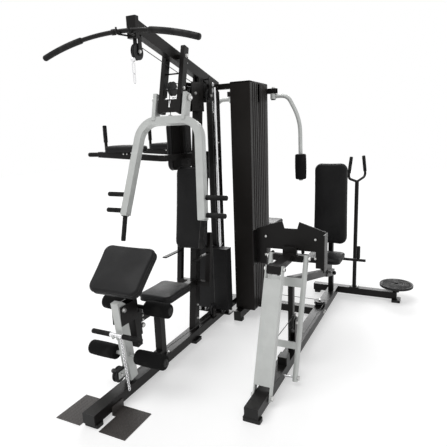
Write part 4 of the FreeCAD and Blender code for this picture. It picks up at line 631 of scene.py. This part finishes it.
def stitches(name, body, loop, out, long=0.0042, pitch=0.0062):
    """A line of short thread stitches along a closed loop."""
    shape = Shape()
    waiting = 0.0
    for start, end in zip(loop, loop[1:] + loop[:1]):
        run = end - start
        heading = run.normalized()
        inward = heading.cross(out)
        place = waiting
        while place < run.length:
            shape.block(start + heading * place, heading, out, inward, (long, 0.0008, 0.0014))
            place += pitch
        waiting = place - run.length
    piece(name, shape, body, "vinyl", THREAD)


def make_cushions():
    cushion("seat_cushion", "frame", Vector((0, -0.3025, 0.4613)), RIGHT, BACK, UP,
            (0.24, 0.305, 0.0537), 0.045, ["front_pads"])
    low = Vector((0, upright_centre(0.68), 0.68))
    length = 0.582 / math.cos(LEAN)
    cushion("backrest_cushion", "frame", low + PAD_FACE * 0.0426 + UPRIGHT_LINE * (length / 2), RIGHT,
            UPRIGHT_LINE, PAD_FACE, (0.248, length, 0.05), 0.05, ["front_pads"])
    board = PREACHER_LOW + PREACHER_LINE * 0.152 - PREACHER_FACE * 0.06
    cushion("preacher_cushion", "preacher", board, RIGHT, -PREACHER_LINE, PREACHER_FACE,
            (0.36, 0.304, 0.06), 0.05, ["preacher_pad"], crown=0.009, taper=0.06)
    cushion("knee_raise_back_cushion", "frame", Vector((-0.1313, 0.215, 1.415)), BACK, UP, -RIGHT,
            (0.29, 0.35, 0.05), 0.05, ["station_pads"])
    for number, y in enumerate(KNEE_ROWS):
        cushion("forearm_cushion_%d" % (number + 1), "frame", Vector((-0.424, y, 1.3863)), BACK, RIGHT, UP,
                (0.11, 0.324, 0.0497), 0.03, ["station_pads"])
    cushion("back_station_cushion", "frame", Vector((BACK_X, 0.951, 1.11)), RIGHT, UP, BACK,
            (0.196, 0.58, 0.05), 0.045, ["station_pads"])
    cushion("leg_seat_cushion", "leg_seat", Vector((LEG_X, 0.942, 0.4323)), RIGHT, BACK, UP,
            (0.29, 0.284, 0.0497), 0.05, ["leg_seat_pads"])
    cushion("leg_back_cushion", "leg_seat", Vector((LEG_X, 1.145, 0.8725)), RIGHT, UP, -BACK,
            (0.284, 0.685, 0.06), 0.06, ["leg_seat_pads"], taper=0.05)
    cushion("back_seat_cushion", "back_seat", Vector((BACK_X, BACK_SEAT_Y, 0.6363)), RIGHT, BACK, UP,
            (0.25, 0.3, 0.0537), 0.045, ["back_seat"])


# ---- foam rollers and grips ---------------------------------------------------------------------

# Steps along a roller, and the rows of its profile that make one soft end
BELLY_STEPS = 14
END_ROWS = 8


def foam_roller(name, body, start, end, radius, bore, stands_for):
    """A foam sleeve with soft ends and a slight belly, and its plastic end cap."""
    axis = (end - start).normalized()
    length = (end - start).length
    ease = radius * 0.24
    profile = [(0.004, bore), (0.0012, bore + 0.004), (0, radius * 0.62)]
    for step in range(5):
        angle = math.pi / 2 * step / 4
        profile.append((ease * (1 - math.cos(angle)), radius * 0.955 - ease + ease * math.sin(angle)))
    for step in range(1, BELLY_STEPS):
        share = step / BELLY_STEPS
        swell = radius * (0.955 + 0.045 * math.sin(math.pi * share) ** 0.6)
        profile.append((ease + (length - 2 * ease) * share, swell - 0.0006 * (step % 2)))
    for along, size in profile[END_ROWS - 1::-1]:
        profile.append((length - along, size))
    shape = Shape()
    shape.turned(start, axis, profile, 64)
    sleeve = piece(name, shape, body, "foam", stands_for=stands_for, sharp=60)
    cap = Shape()
    cap.turned(end, axis, [(0, 0.01), (0, radius * 0.52), (0.0022, radius * 0.5), (0.0036, radius * 0.4),
                           (0.0036, radius * 0.22), (0.0016, radius * 0.18), (0.0016, 0.002)], 40)
    piece(name + "_cap", cap, body, "cap_plastic")


def ribbed_grip(shape, start, end, radius, ribs=0.0052, flange=0.0):
    """A moulded grip: a rounded end, a row of ribs and, if asked, a flange at its start."""
    axis = (end - start).normalized()
    length = (end - start).length
    profile = [(0, radius * 0.4), (0, radius * 0.96)]
    if flange:
        profile = [(0, radius * 0.4), (0, flange * 0.94), (0.001, flange), (0.0032, flange),
                   (0.0044, radius)]
    along = profile[-1][0] + 0.003
    while along < length - 0.012:
        profile += [(along, radius), (along + ribs * 0.55, radius), (along + ribs * 0.66, radius - 0.0011),
                    (along + ribs * 0.9, radius - 0.0011)]
        along += ribs
    for step in range(6):
        angle = math.pi / 2 * step / 5
        profile.append((length - 0.008 + 0.008 * math.sin(angle), radius - 0.007 + 0.007 * math.cos(angle)))
    shape.turned(start, axis, profile, 36)


def make_rollers():
    for side, label in ((1, "right"), (-1, "left")):
        foam_roller("upper_roller_" + label, "frame", UPPER_ROLLER + RIGHT * (side * ROLLER_START),
                    UPPER_ROLLER + RIGHT * (side * UPPER_ROLLER_END), ROLLER_RADIUS, ROLLER_BORE,
                    ["station_pads"])
        low = developer_axis(LOWER_ROLLER_DROP)
        foam_roller("lower_roller_" + label, "leg_developer", low + RIGHT * (side * ROLLER_START),
                    low + RIGHT * (side * LOWER_ROLLER_END), ROLLER_RADIUS, ROLLER_BORE, ["lower_rollers"])


def make_grips():
    press = Shape()
    for side in (-1, 1):
        for drop in HANDLE_DROPS:
            root = side * (press_leg_x(drop) + HANDLE_ROOT)
            ribbed_grip(press, on_arm(root, drop), on_arm(side * HANDLE_END, drop), PRESS_GRIP)
        across = side * PRESS_LEG_X
        ribbed_grip(press, on_arm(across, 0.7683), on_arm(across, 0.938), PRESS_GRIP, flange=0.026)
    piece("press_hand_grips", press, "press_arm", "grip", stands_for=["press_grips"])
    station = Shape()
    for y in KNEE_ROWS:
        ribbed_grip(station, Vector((-0.6, y, 1.456)), Vector((-0.6, y, 1.576)), 0.015)
        ribbed_grip(station, Vector((-0.668, y, 1.37)), Vector((-0.768, y, 1.37)), 0.016)
    piece("knee_raise_hand_grips", station, "frame", "grip", stands_for=["station_pads"])
    leg = Shape()
    for side in (-1, 1):
        spot = Vector((LEG_X + side * 0.24, 1.12, 0))
        ribbed_grip(leg, spot + UP * 0.417, spot + UP * 0.521, 0.015)
    piece("leg_seat_hand_grips", leg, "leg_seat", "grip", stands_for=["leg_seat_pads"])
    horn = Shape()
    turned = Vector((math.sin(HORN_TURN), math.cos(HORN_TURN), 0))
    for side in (-1, 1):
        tip = POST_TOP + turned * (side * 0.085) + UP * 0.206
        low = POST_TOP + turned * (side * 0.12) + UP * 0.03
        line = (tip - low).normalized()
        ribbed_grip(horn, tip - line * 0.135, tip + line * 0.004, 0.0145)
    piece("handle_post_grips", horn, "frame", "grip")
    curl = Shape()
    seat = developer_axis(0.15) + DEV_OUT * (DEV_DEPTH / 2)
    centre = Vector((0, seat.y - 0.028, seat.z + 0.0125))
    for side in (-1, 1):
        ribbed_grip(curl, centre + RIGHT * (side * 0.044), centre + RIGHT * (side * 0.174), 0.0145)
    piece("curl_bar_grips", curl, "curl_bar", "grip")


def make_lat_bar():
    bar = Shape()
    bar.tube([lat_point(-LAT_HALF + 2 * LAT_HALF * step / 60) for step in range(61)], LAT_RADIUS)
    collar = lat_point(0)
    sleeve = [(0, LAT_RADIUS), (0, 0.0155), (0.002, 0.0165), (0.022, 0.0165), (0.024, 0.0155),
              (0.024, LAT_RADIUS)]
    bar.turned(collar + RIGHT * -0.012, RIGHT, sleeve, 32)
    piece("lat_bar_tube", bar, "lat_bar", "frame_coat", stands_for=["lat_bar"])
    grips = Shape()
    for side in (-1, 1):
        rings = []
        steps = 60
        for step in range(steps + 1):
            along = 0.233 + 0.306 * step / steps
            spot = lat_point(side * min(along, LAT_HALF))
            if along > LAT_HALF:
                tail = lat_point(side * LAT_HALF) - lat_point(side * 0.53)
                spot = spot + tail.normalized() * (along - LAT_HALF)
            after = lat_point(side * min(along + 0.001, LAT_HALF))
            before = lat_point(side * (min(along, 0.532) - 0.001))
            over = (after - before).normalized().cross(BACK).normalized()
            radius = 0.018 - 0.0009 * (step % 2)
            if step in (0, steps):
                radius = 0.0145
            rings.append([spot + over * (radius * math.cos(2 * math.pi * k / 32))
                          + BACK * (radius * math.sin(2 * math.pi * k / 32)) for k in range(32)])
        grips.rings(rings)
    piece("lat_bar_grips", grips, "lat_bar", "grip", stands_for=["lat_bar"], sharp=70)


# ---- butterfly arms, back seat and twister ------------------------------------------------------

def make_butterfly_arms():
    for side, label in ((1, "right"), (-1, "left")):
        body = "butterfly_" + label
        node = "butterfly_arm_" + label
        pivot = Vector((BACK_X + side * BUTTERFLY_X, BUTTERFLY_Y, BUTTERFLY_Z))
        out = RIGHT * side
        elbow = [pivot + out * 0.014, pivot + out * 0.12, pivot + out * 0.222 - UP * 0.19,
                 pivot + out * 0.230 - UP * 0.673]
        arm = Shape()
        arm.tube(eased(elbow, 0.5, 14), 0.016, 32)
        arm.turned(pivot - UP * 0.022, UP, [(0, 0.0095), (0, 0.0225), (0.0015, 0.024), (0.0425, 0.024),
                                            (0.044, 0.0225), (0.044, 0.0095)], 40)
        piece("butterfly_tube_" + label, arm, body, "silver_coat", stands_for=[node])
        drop = (elbow[3] - elbow[2]).normalized()
        foam_roller("butterfly_foam_" + label, body, elbow[2] + drop * 0.272, elbow[2] + drop * 0.474,
                    0.046, 0.0162, [node])


def make_back_seat():
    post = Shape()
    post.block(Vector((BACK_X, BACK_SEAT_Y, 0.435)), RIGHT, BACK, UP, (0.044, 0.044, 0.39))
    post.block(Vector((BACK_X, BACK_SEAT_Y, 0.633)), RIGHT, BACK, UP, (0.16, 0.18, 0.006))
    piece("back_seat_post", post, "back_seat", "frame_coat", stands_for=["back_seat"], bevel=0.0022)


def make_twister():
    """The turning foot disc: steel skirt, rolled rim and a ridged rubber top."""
    base = TWIST_CENTRE + UP * (TWIST_TOP - 0.04)
    dish = Shape()
    skirt = [(0, 0.011), (0, 0.058), (0.002, 0.06), (0.011, 0.06), (0.013, 0.064), (0.014, 0.13),
             (0.0165, 0.1365), (0.022, 0.138), (0.034, 0.138), (0.0375, 0.1362), (0.0375, 0.129),
             (0.0355, 0.126)]
    dish.turned(base, UP, skirt, 96)
    piece("twister_dish", dish, "twister_disc", "cap_plastic", stands_for=["twister_disc"])
    mat = Shape()
    profile = [(0.034, 0.01)]
    for ridge in (0.024, 0.042, 0.060, 0.078, 0.096, 0.114):
        profile += [(0.0362, ridge - 0.0062), (0.0386, ridge - 0.0046), (0.0386, ridge + 0.0046),
                    (0.0362, ridge + 0.0062)]
    profile.append((0.0355, 0.126))
    mat.turned(base, UP, profile, 96)
    piece("twister_mat", mat, "twister_disc", "grip", stands_for=["twister_disc"])
    studs = Shape()
    for ring, count in ((0.051, 14), (0.069, 18), (0.087, 24), (0.105, 30)):
        for index in range(count):
            angle = 2 * math.pi * index / count
            spot = base + Vector((ring * math.cos(angle), ring * math.sin(angle), 0.0355))
            studs.turned(spot, UP, [(0, 0.0034), (0.003, 0.0032), (0.0038, 0.0022)], 10)
    piece("twister_studs", studs, "twister_disc", "grip")


# ---- weight stack cover -------------------------------------------------------------------------

COVER_SHEET = 0.0018
FLUTES = 8


def panel(sheet, near, far, low_z, high_z):
    """One flat stretch of upright sheet between two x, y corners."""
    sheet.add([Vector((*near, low_z)), Vector((*far, low_z)),
               Vector((*far, high_z)), Vector((*near, high_z))], [[0, 1, 2, 3]])


def make_cover():
    """The tall sheet steel cover, with pressed flutes along both broad sides and a folded lid."""
    low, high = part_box("side_stack_cover")
    flute = 0.0055
    first = low.y + 0.045
    pitch = (high.y - low.y - 0.09) / (FLUTES - 1)
    stations = []
    for index in range(FLUTES):
        y = first + index * pitch
        stations += [(y - 0.004, 0.0), (y, flute)]
        if index < FLUTES - 1:
            stations += [(y + pitch * 0.32, flute), (y + pitch * 0.32 + 0.004, 0.0)]
    stations = [(low.y, 0.0)] + stations + [(high.y - 0.04, 0.0), (high.y, 0.0)]

    def depth_at(y):
        for (y0, d0), (y1, d1) in zip(stations, stations[1:]):
            if y0 <= y <= y1:
                return d0 + (d1 - d0) * (y - y0) / (y1 - y0)
        return 0.0

    # The cable's slot near the top and its hole near the floor, both on the side to the right
    slot_y = (0.655, 0.693)
    slot_z = (high.z - 0.15, high.z - 0.014)
    hole_y = (0.836, 0.852)
    hole_z = (0.098, 0.118)
    columns = sorted({round(y, 6) for y, depth in stations} | set(slot_y) | set(hole_y))
    levels = sorted({low.z, high.z - 0.006, slot_z[0], slot_z[1], hole_z[0], hole_z[1], 0.5, 1.0, 1.4})
    sheet = Shape()
    for x, inward in ((high.x, -1), (low.x, 1)):
        for y0, y1 in zip(columns, columns[1:]):
            for z0, z1 in zip(levels, levels[1:]):
                middle_y = (y0 + y1) / 2
                middle_z = (z0 + z1) / 2
                in_slot = slot_y[0] < middle_y < slot_y[1] and slot_z[0] < middle_z < slot_z[1]
                in_hole = hole_y[0] < middle_y < hole_y[1] and hole_z[0] < middle_z < hole_z[1]
                if inward < 0 and (in_slot or in_hole):
                    continue
                x0 = x + inward * depth_at(y0)
                x1 = x + inward * depth_at(y1)
                panel(sheet, (x0, y0), (x1, y1), z0, z1)
    fold = 0.012
    for y, inward in ((low.y, 1), (high.y, -1)):
        bends = [(low.x, y), (low.x + fold, y), (high.x - fold, y), (high.x, y)]
        for near, far in zip(bends, bends[1:]):
            for z0, z1 in zip(levels, levels[1:]):
                panel(sheet, near, far, z0, z1)
    cover = piece("stack_cover_sheet", sheet, "frame", "cover_coat", stands_for=["side_stack_cover"],
                  sharp=12)
    thick = cover.modifiers.new("sheet", "SOLIDIFY")
    thick.thickness = COVER_SHEET
    thick.offset = -1
    lid = Shape()
    lid.block(Vector(((low.x + high.x) / 2, (low.y + high.y) / 2, high.z - 0.008)), RIGHT, BACK, UP,
              (high.x - low.x, high.y - low.y, 0.016))
    piece("stack_cover_lid", lid, "frame", "cover_coat", stands_for=["side_stack_cover"], bevel=0.004)


# ---- foot plates --------------------------------------------------------------------------------

def make_treads():
    """Raised bars in a chequer over both foot plates."""
    bars = Shape()
    pitch = 0.0112
    start_y = -1.087
    end_y = -0.855
    for side in (-1, 1):
        row = 0
        y = start_y + 0.008
        while y < end_y - 0.006:
            x = 0.073 + (row % 2) * pitch / 2
            while x < 0.226:
                angle = math.radians(45 if (row + int(round(x / pitch))) % 2 else -45)
                along = Vector((math.cos(angle), math.sin(angle), 0))
                over = Vector((-math.sin(angle), math.cos(angle), 0))
                centre = Vector((side * x, y, 0.004))
                base = [centre + along * 0.0052, centre + over * 0.0019, centre - along * 0.0052,
                        centre - over * 0.0019]
                top = [centre + (spot - centre) * 0.6 + UP * 0.0011 for spot in base]
                bars.rings([base, top])
                x += pitch
            y += pitch * 0.8
            row += 1
    piece("tread_bars", bars, "frame", "tread")


# ---- fasteners, plugs and knobs -----------------------------------------------------------------

def make_fasteners():
    fixed = Shape()
    for side in (-1, 1):
        out = RIGHT * side
        fixed.hex_head(on_bracket(side * 0.083, 0), out, 0.019, 0.009)
        fixed.hex_head(on_bracket(side * 0.083, 0.207), out, 0.017, 0.006)
        collar = [(0, 0.0102), (0, 0.019), (0.0015, 0.02), (0.012, 0.02), (0.0135, 0.018), (0.0135, 0.0102)]
        fixed.turned(on_bracket(side * 0.1265, AXLE_DROP), out, collar, 36)
        fixed.hex_head(Vector((side * 0.029, *GUSSET_AXLE)), out, 0.017, 0.007)
        fixed.hex_head(Vector((side * 0.018, *FRONT_AXLE)), out, 0.017, 0.007)
        fixed.hex_head(Vector((side * 0.033, DEV_PIVOT.y, DEV_PIVOT.z)), out, 0.022, 0.011)
        fixed.hex_head(Vector((LEG_X + side * 0.0525, LEVER_FEET[0], LEVER_FOOT_Z)), out, 0.024, 0.012)
        fixed.hex_head(Vector((LEG_X + side * 0.1285, LEVER_FEET[1], LEVER_FOOT_Z)), out, 0.022, 0.009)
        for y in (-0.443, -0.362):
            fixed.hex_head(Vector((side * 0.033, y, 0.088)), UP, 0.011, 0.006)
        fixed.hex_head(Vector((POST_TOP.x + side * 0.03, POST_TOP.y, 0.088)), UP, 0.012, 0.006)
        fixed.hex_head(Vector((BACK_X + side * BUTTERFLY_X, BUTTERFLY_Y, 1.8305)), UP, 0.022, 0.0095)
        for z in (0.417, 0.443):
            fixed.hex_head(Vector((side * 0.025, -0.60, z)), out, 0.011, 0.005)
    fixed.hex_head(Vector((-0.018, *STACK_AXLE)), -RIGHT, 0.017, 0.008)
    fixed.hex_head(Vector((0.062, *STACK_AXLE)), RIGHT, 0.017, 0.008)
    fixed.hex_head(Vector((0.754, 0.803, 0.122)), UP, 0.017, 0.007)
    for y, z in ((0.017, 0.149), (-0.065, 0.3)):
        fixed.hex_head(Vector((0.813, y, z)), RIGHT, 0.017, 0.007)
    for y in (-0.035, 0.02, 0.075):
        fixed.hex_head(boom_axis(y) + RIGHT * 0.025, RIGHT, 0.012, 0.005)
    for y in (0.73, 0.77):
        fixed.hex_head(Vector((LEG_X + 0.04, y, 0.052)), RIGHT, 0.014, 0.007)
    for x in (0.735, 0.765):
        fixed.hex_head(Vector((x, 1.30, 0.052)), -BACK, 0.014, 0.007)
    for y in KNEE_ROWS:
        for x in (-0.405, -0.435):
            fixed.hex_head(Vector((x, y - 0.015, 1.372)), -BACK, 0.010, 0.005)
    for z in (0.5, 0.62, 1.3, 1.42):
        fixed.hex_head(Vector((0.03, 0.49, z)), RIGHT, 0.013, 0.006)
    for z in (0.16, 0.26):
        fixed.hex_head(Vector((0.025, upright_centre(z), z)), RIGHT, 0.013, 0.006)
    piece("frame_fasteners", fixed, "frame", "zinc")
    moving = Shape()
    for side in (-1, 1):
        moving.hex_head(DEV_WHEEL + RIGHT * (side * 0.018), RIGHT * side, 0.016, 0.006)
    piece("developer_fasteners", moving, "leg_developer", "zinc")
    tops = Shape()
    for side in (-1, 1):
        for foot, reach in zip(LEVER_FEET, (0.0525, 0.1285)):
            top = Vector((LEG_X, foot, LEVER_FOOT_Z)) + LEVER_TOP_STEP
            tops.hex_head(top + RIGHT * (side * reach), RIGHT * side, 0.022, 0.008)
        for z in (0.70, 0.82):
            tops.hex_head(Vector((LEG_X + side * 0.16, -0.0215, z + 0.02)), -BACK, 0.012, 0.004)
    piece("footplate_fasteners", tops, "footplate", "zinc")


def plug(name, centre, across, along, width, length, body):
    """A moulded plug closing a tube end: a flange with rounded corners and a low crown."""
    out = across.cross(along).normalized()
    rings = []
    for height, shrink in ((-0.004, 0.0045), (0, 0.0045), (0, 0.0006), (0.0012, 0.0), (0.0024, 0.0006),
                           (0.0034, 0.004), (0.0036, 0.009)):
        rows = pad_outline(width / 2 - shrink, length / 2 - shrink, 0.004)
        rings.append([centre + across * row[0] + along * row[1] + out * height for row in rows])
    shape = Shape()
    shape.rings(rings)
    piece(name, shape, body, "cap_plastic")


def make_plugs():
    plug("boom_rear_plug", boom_axis(0.54), RIGHT, HANG, 0.05, 0.07, "frame")
    for side, label in ((1, "right"), (-1, "left")):
        plug("bracket_top_plug_" + label, on_bracket(side * 0.068, -0.058), RIGHT, -AHEAD,
             0.03, 0.05, "frame")
        plug("bracket_foot_plug_" + label, on_bracket(side * 0.068, 0.365), RIGHT, AHEAD,
             0.03, 0.05, "frame")
    plug("developer_foot_plug", developer_axis(0.452), RIGHT, DEV_OUT, 0.05, DEV_DEPTH, "leg_developer")


def make_knobs():
    """Hand knobs on the adjusting pins."""
    for name, body, at, out in (
            ("leg_seat_knob", "leg_seat", Vector((LEG_X + 0.031, 1.01, 0.3)), RIGHT),
            ("back_seat_knob", "frame", Vector((BACK_X + 0.028, BACK_SEAT_Y, 0.38)), RIGHT)):
        stem = Shape()
        stem.turned(at, out, [(0, 0.006), (0, 0.011), (0.008, 0.011), (0.009, 0.005), (0.022, 0.005)], 24)
        piece(name + "_stem", stem, body, "zinc")
        knob = Shape()
        profile = [(0.018, 0.005), (0.018, 0.009), (0.022, 0.0135), (0.028, 0.0165), (0.036, 0.0172),
                   (0.042, 0.0155), (0.046, 0.011), (0.048, 0.003)]
        knob.turned(at, out, profile, 40)
        piece(name, knob, body, "cap_plastic", sharp=60)


# ---- stage --------------------------------------------------------------------------------------

CAMERA_SPOT = Vector((1.572, -2.6, 1.5))
CAMERA_YAW = math.radians(26.2)
CAMERA_DOWN = math.radians(11.7)
CAMERA_ROLL = math.radians(-2.0)
LENS_MM = 35.5
SENSOR_MM = 36

FLOOR_HALF = 14.0
FLOOR_GLOW = 0.44
AMBIENT = 0.42
# Sun lamps: name, strength, spread in degrees and the way the light goes
LAMPS = (("key", 1.5, 42, (0.28, 0.42, -1.0)),
         ("fill", 0.18, 40, (-0.9, 0.5, -0.6)),
         ("rim", 1.5, 34, (0.3, -0.85, -0.5)))


def make_camera():
    ahead = Vector((-math.sin(CAMERA_YAW), math.cos(CAMERA_YAW), 0))
    side = Vector((math.cos(CAMERA_YAW), math.sin(CAMERA_YAW), 0))
    look = ahead * math.cos(CAMERA_DOWN) - UP * math.sin(CAMERA_DOWN)
    level = ahead * math.sin(CAMERA_DOWN) + UP * math.cos(CAMERA_DOWN)
    right = side * math.cos(CAMERA_ROLL) + level * math.sin(CAMERA_ROLL)
    up = level * math.cos(CAMERA_ROLL) - side * math.sin(CAMERA_ROLL)
    lens = bpy.data.cameras.new("camera")
    lens.lens = LENS_MM
    lens.sensor_width = SENSOR_MM
    camera = bpy.data.objects.new("camera", lens)
    bpy.context.scene.collection.objects.link(camera)
    turn = Matrix((right, up, -look)).transposed().to_4x4()
    camera.matrix_world = Matrix.Translation(CAMERA_SPOT) @ turn
    bpy.context.scene.camera = camera


def make_lamp(name, strength, spread, direction):
    lamp = bpy.data.lights.new(name, "SUN")
    lamp.energy = strength
    lamp.angle = math.radians(spread)
    item = bpy.data.objects.new(name, lamp)
    item.rotation_euler = Vector(direction).to_track_quat("-Z", "Y").to_euler()
    bpy.context.scene.collection.objects.link(item)


def make_stage():
    corners = [(x * FLOOR_HALF, y * FLOOR_HALF, 0) for x, y in ((-1, -1), (1, -1), (1, 1), (-1, 1))]
    mesh = bpy.data.meshes.new("studio_floor")
    mesh.from_pydata(corners, [], [(0, 1, 2, 3)])
    floor = bpy.data.objects.new("studio_floor", mesh)
    bpy.context.scene.collection.objects.link(floor)
    paper = Finish("studio_floor")
    place = paper.node("ShaderNodeTexCoord", out="Object")
    mottle = paper.noise(place, 1.5, 2)
    paper.set(Base_Color=paper.blend(mottle, tone(0.61, 0.61, 0.61), tone(0.63, 0.63, 0.63)), Roughness=0.9)
    paper.set(Specular_IOR_Level=0.0, Emission_Color=tone(1, 1, 1), Emission_Strength=FLOOR_GLOW)
    mesh.materials.append(paper.material)
    world = bpy.data.worlds.new("studio")
    bpy.context.scene.world = world
    world.use_nodes = True
    tree = world.node_tree
    surface = tree.nodes["Background"]
    surface.inputs["Color"].default_value = tone(1, 1, 1)
    rays = tree.nodes.new("ShaderNodeLightPath")
    seen = rays.outputs["Is Camera Ray"]
    for other in ("Is Glossy Ray", "Is Transmission Ray"):
        either = tree.nodes.new("ShaderNodeMath")
        either.operation = "MAXIMUM"
        tree.links.new(seen, either.inputs[0])
        tree.links.new(rays.outputs[other], either.inputs[1])
        seen = either.outputs[0]
    strength = tree.nodes.new("ShaderNodeMapRange")
    strength.inputs["To Min"].default_value = AMBIENT
    strength.inputs["To Max"].default_value = 1.0
    tree.links.new(seen, strength.inputs["Value"])
    tree.links.new(strength.outputs[0], surface.inputs["Strength"])
    for lamp in LAMPS:
        make_lamp(*lamp)
    bpy.context.scene.view_settings.view_transform = "Standard"


make_camera()
dress_frame()
make_cushions()
make_rollers()
make_grips()
make_lat_bar()
make_butterfly_arms()
make_back_seat()
make_twister()
make_cover()
make_treads()
make_fasteners()
make_plugs()
make_knobs()
make_stage()
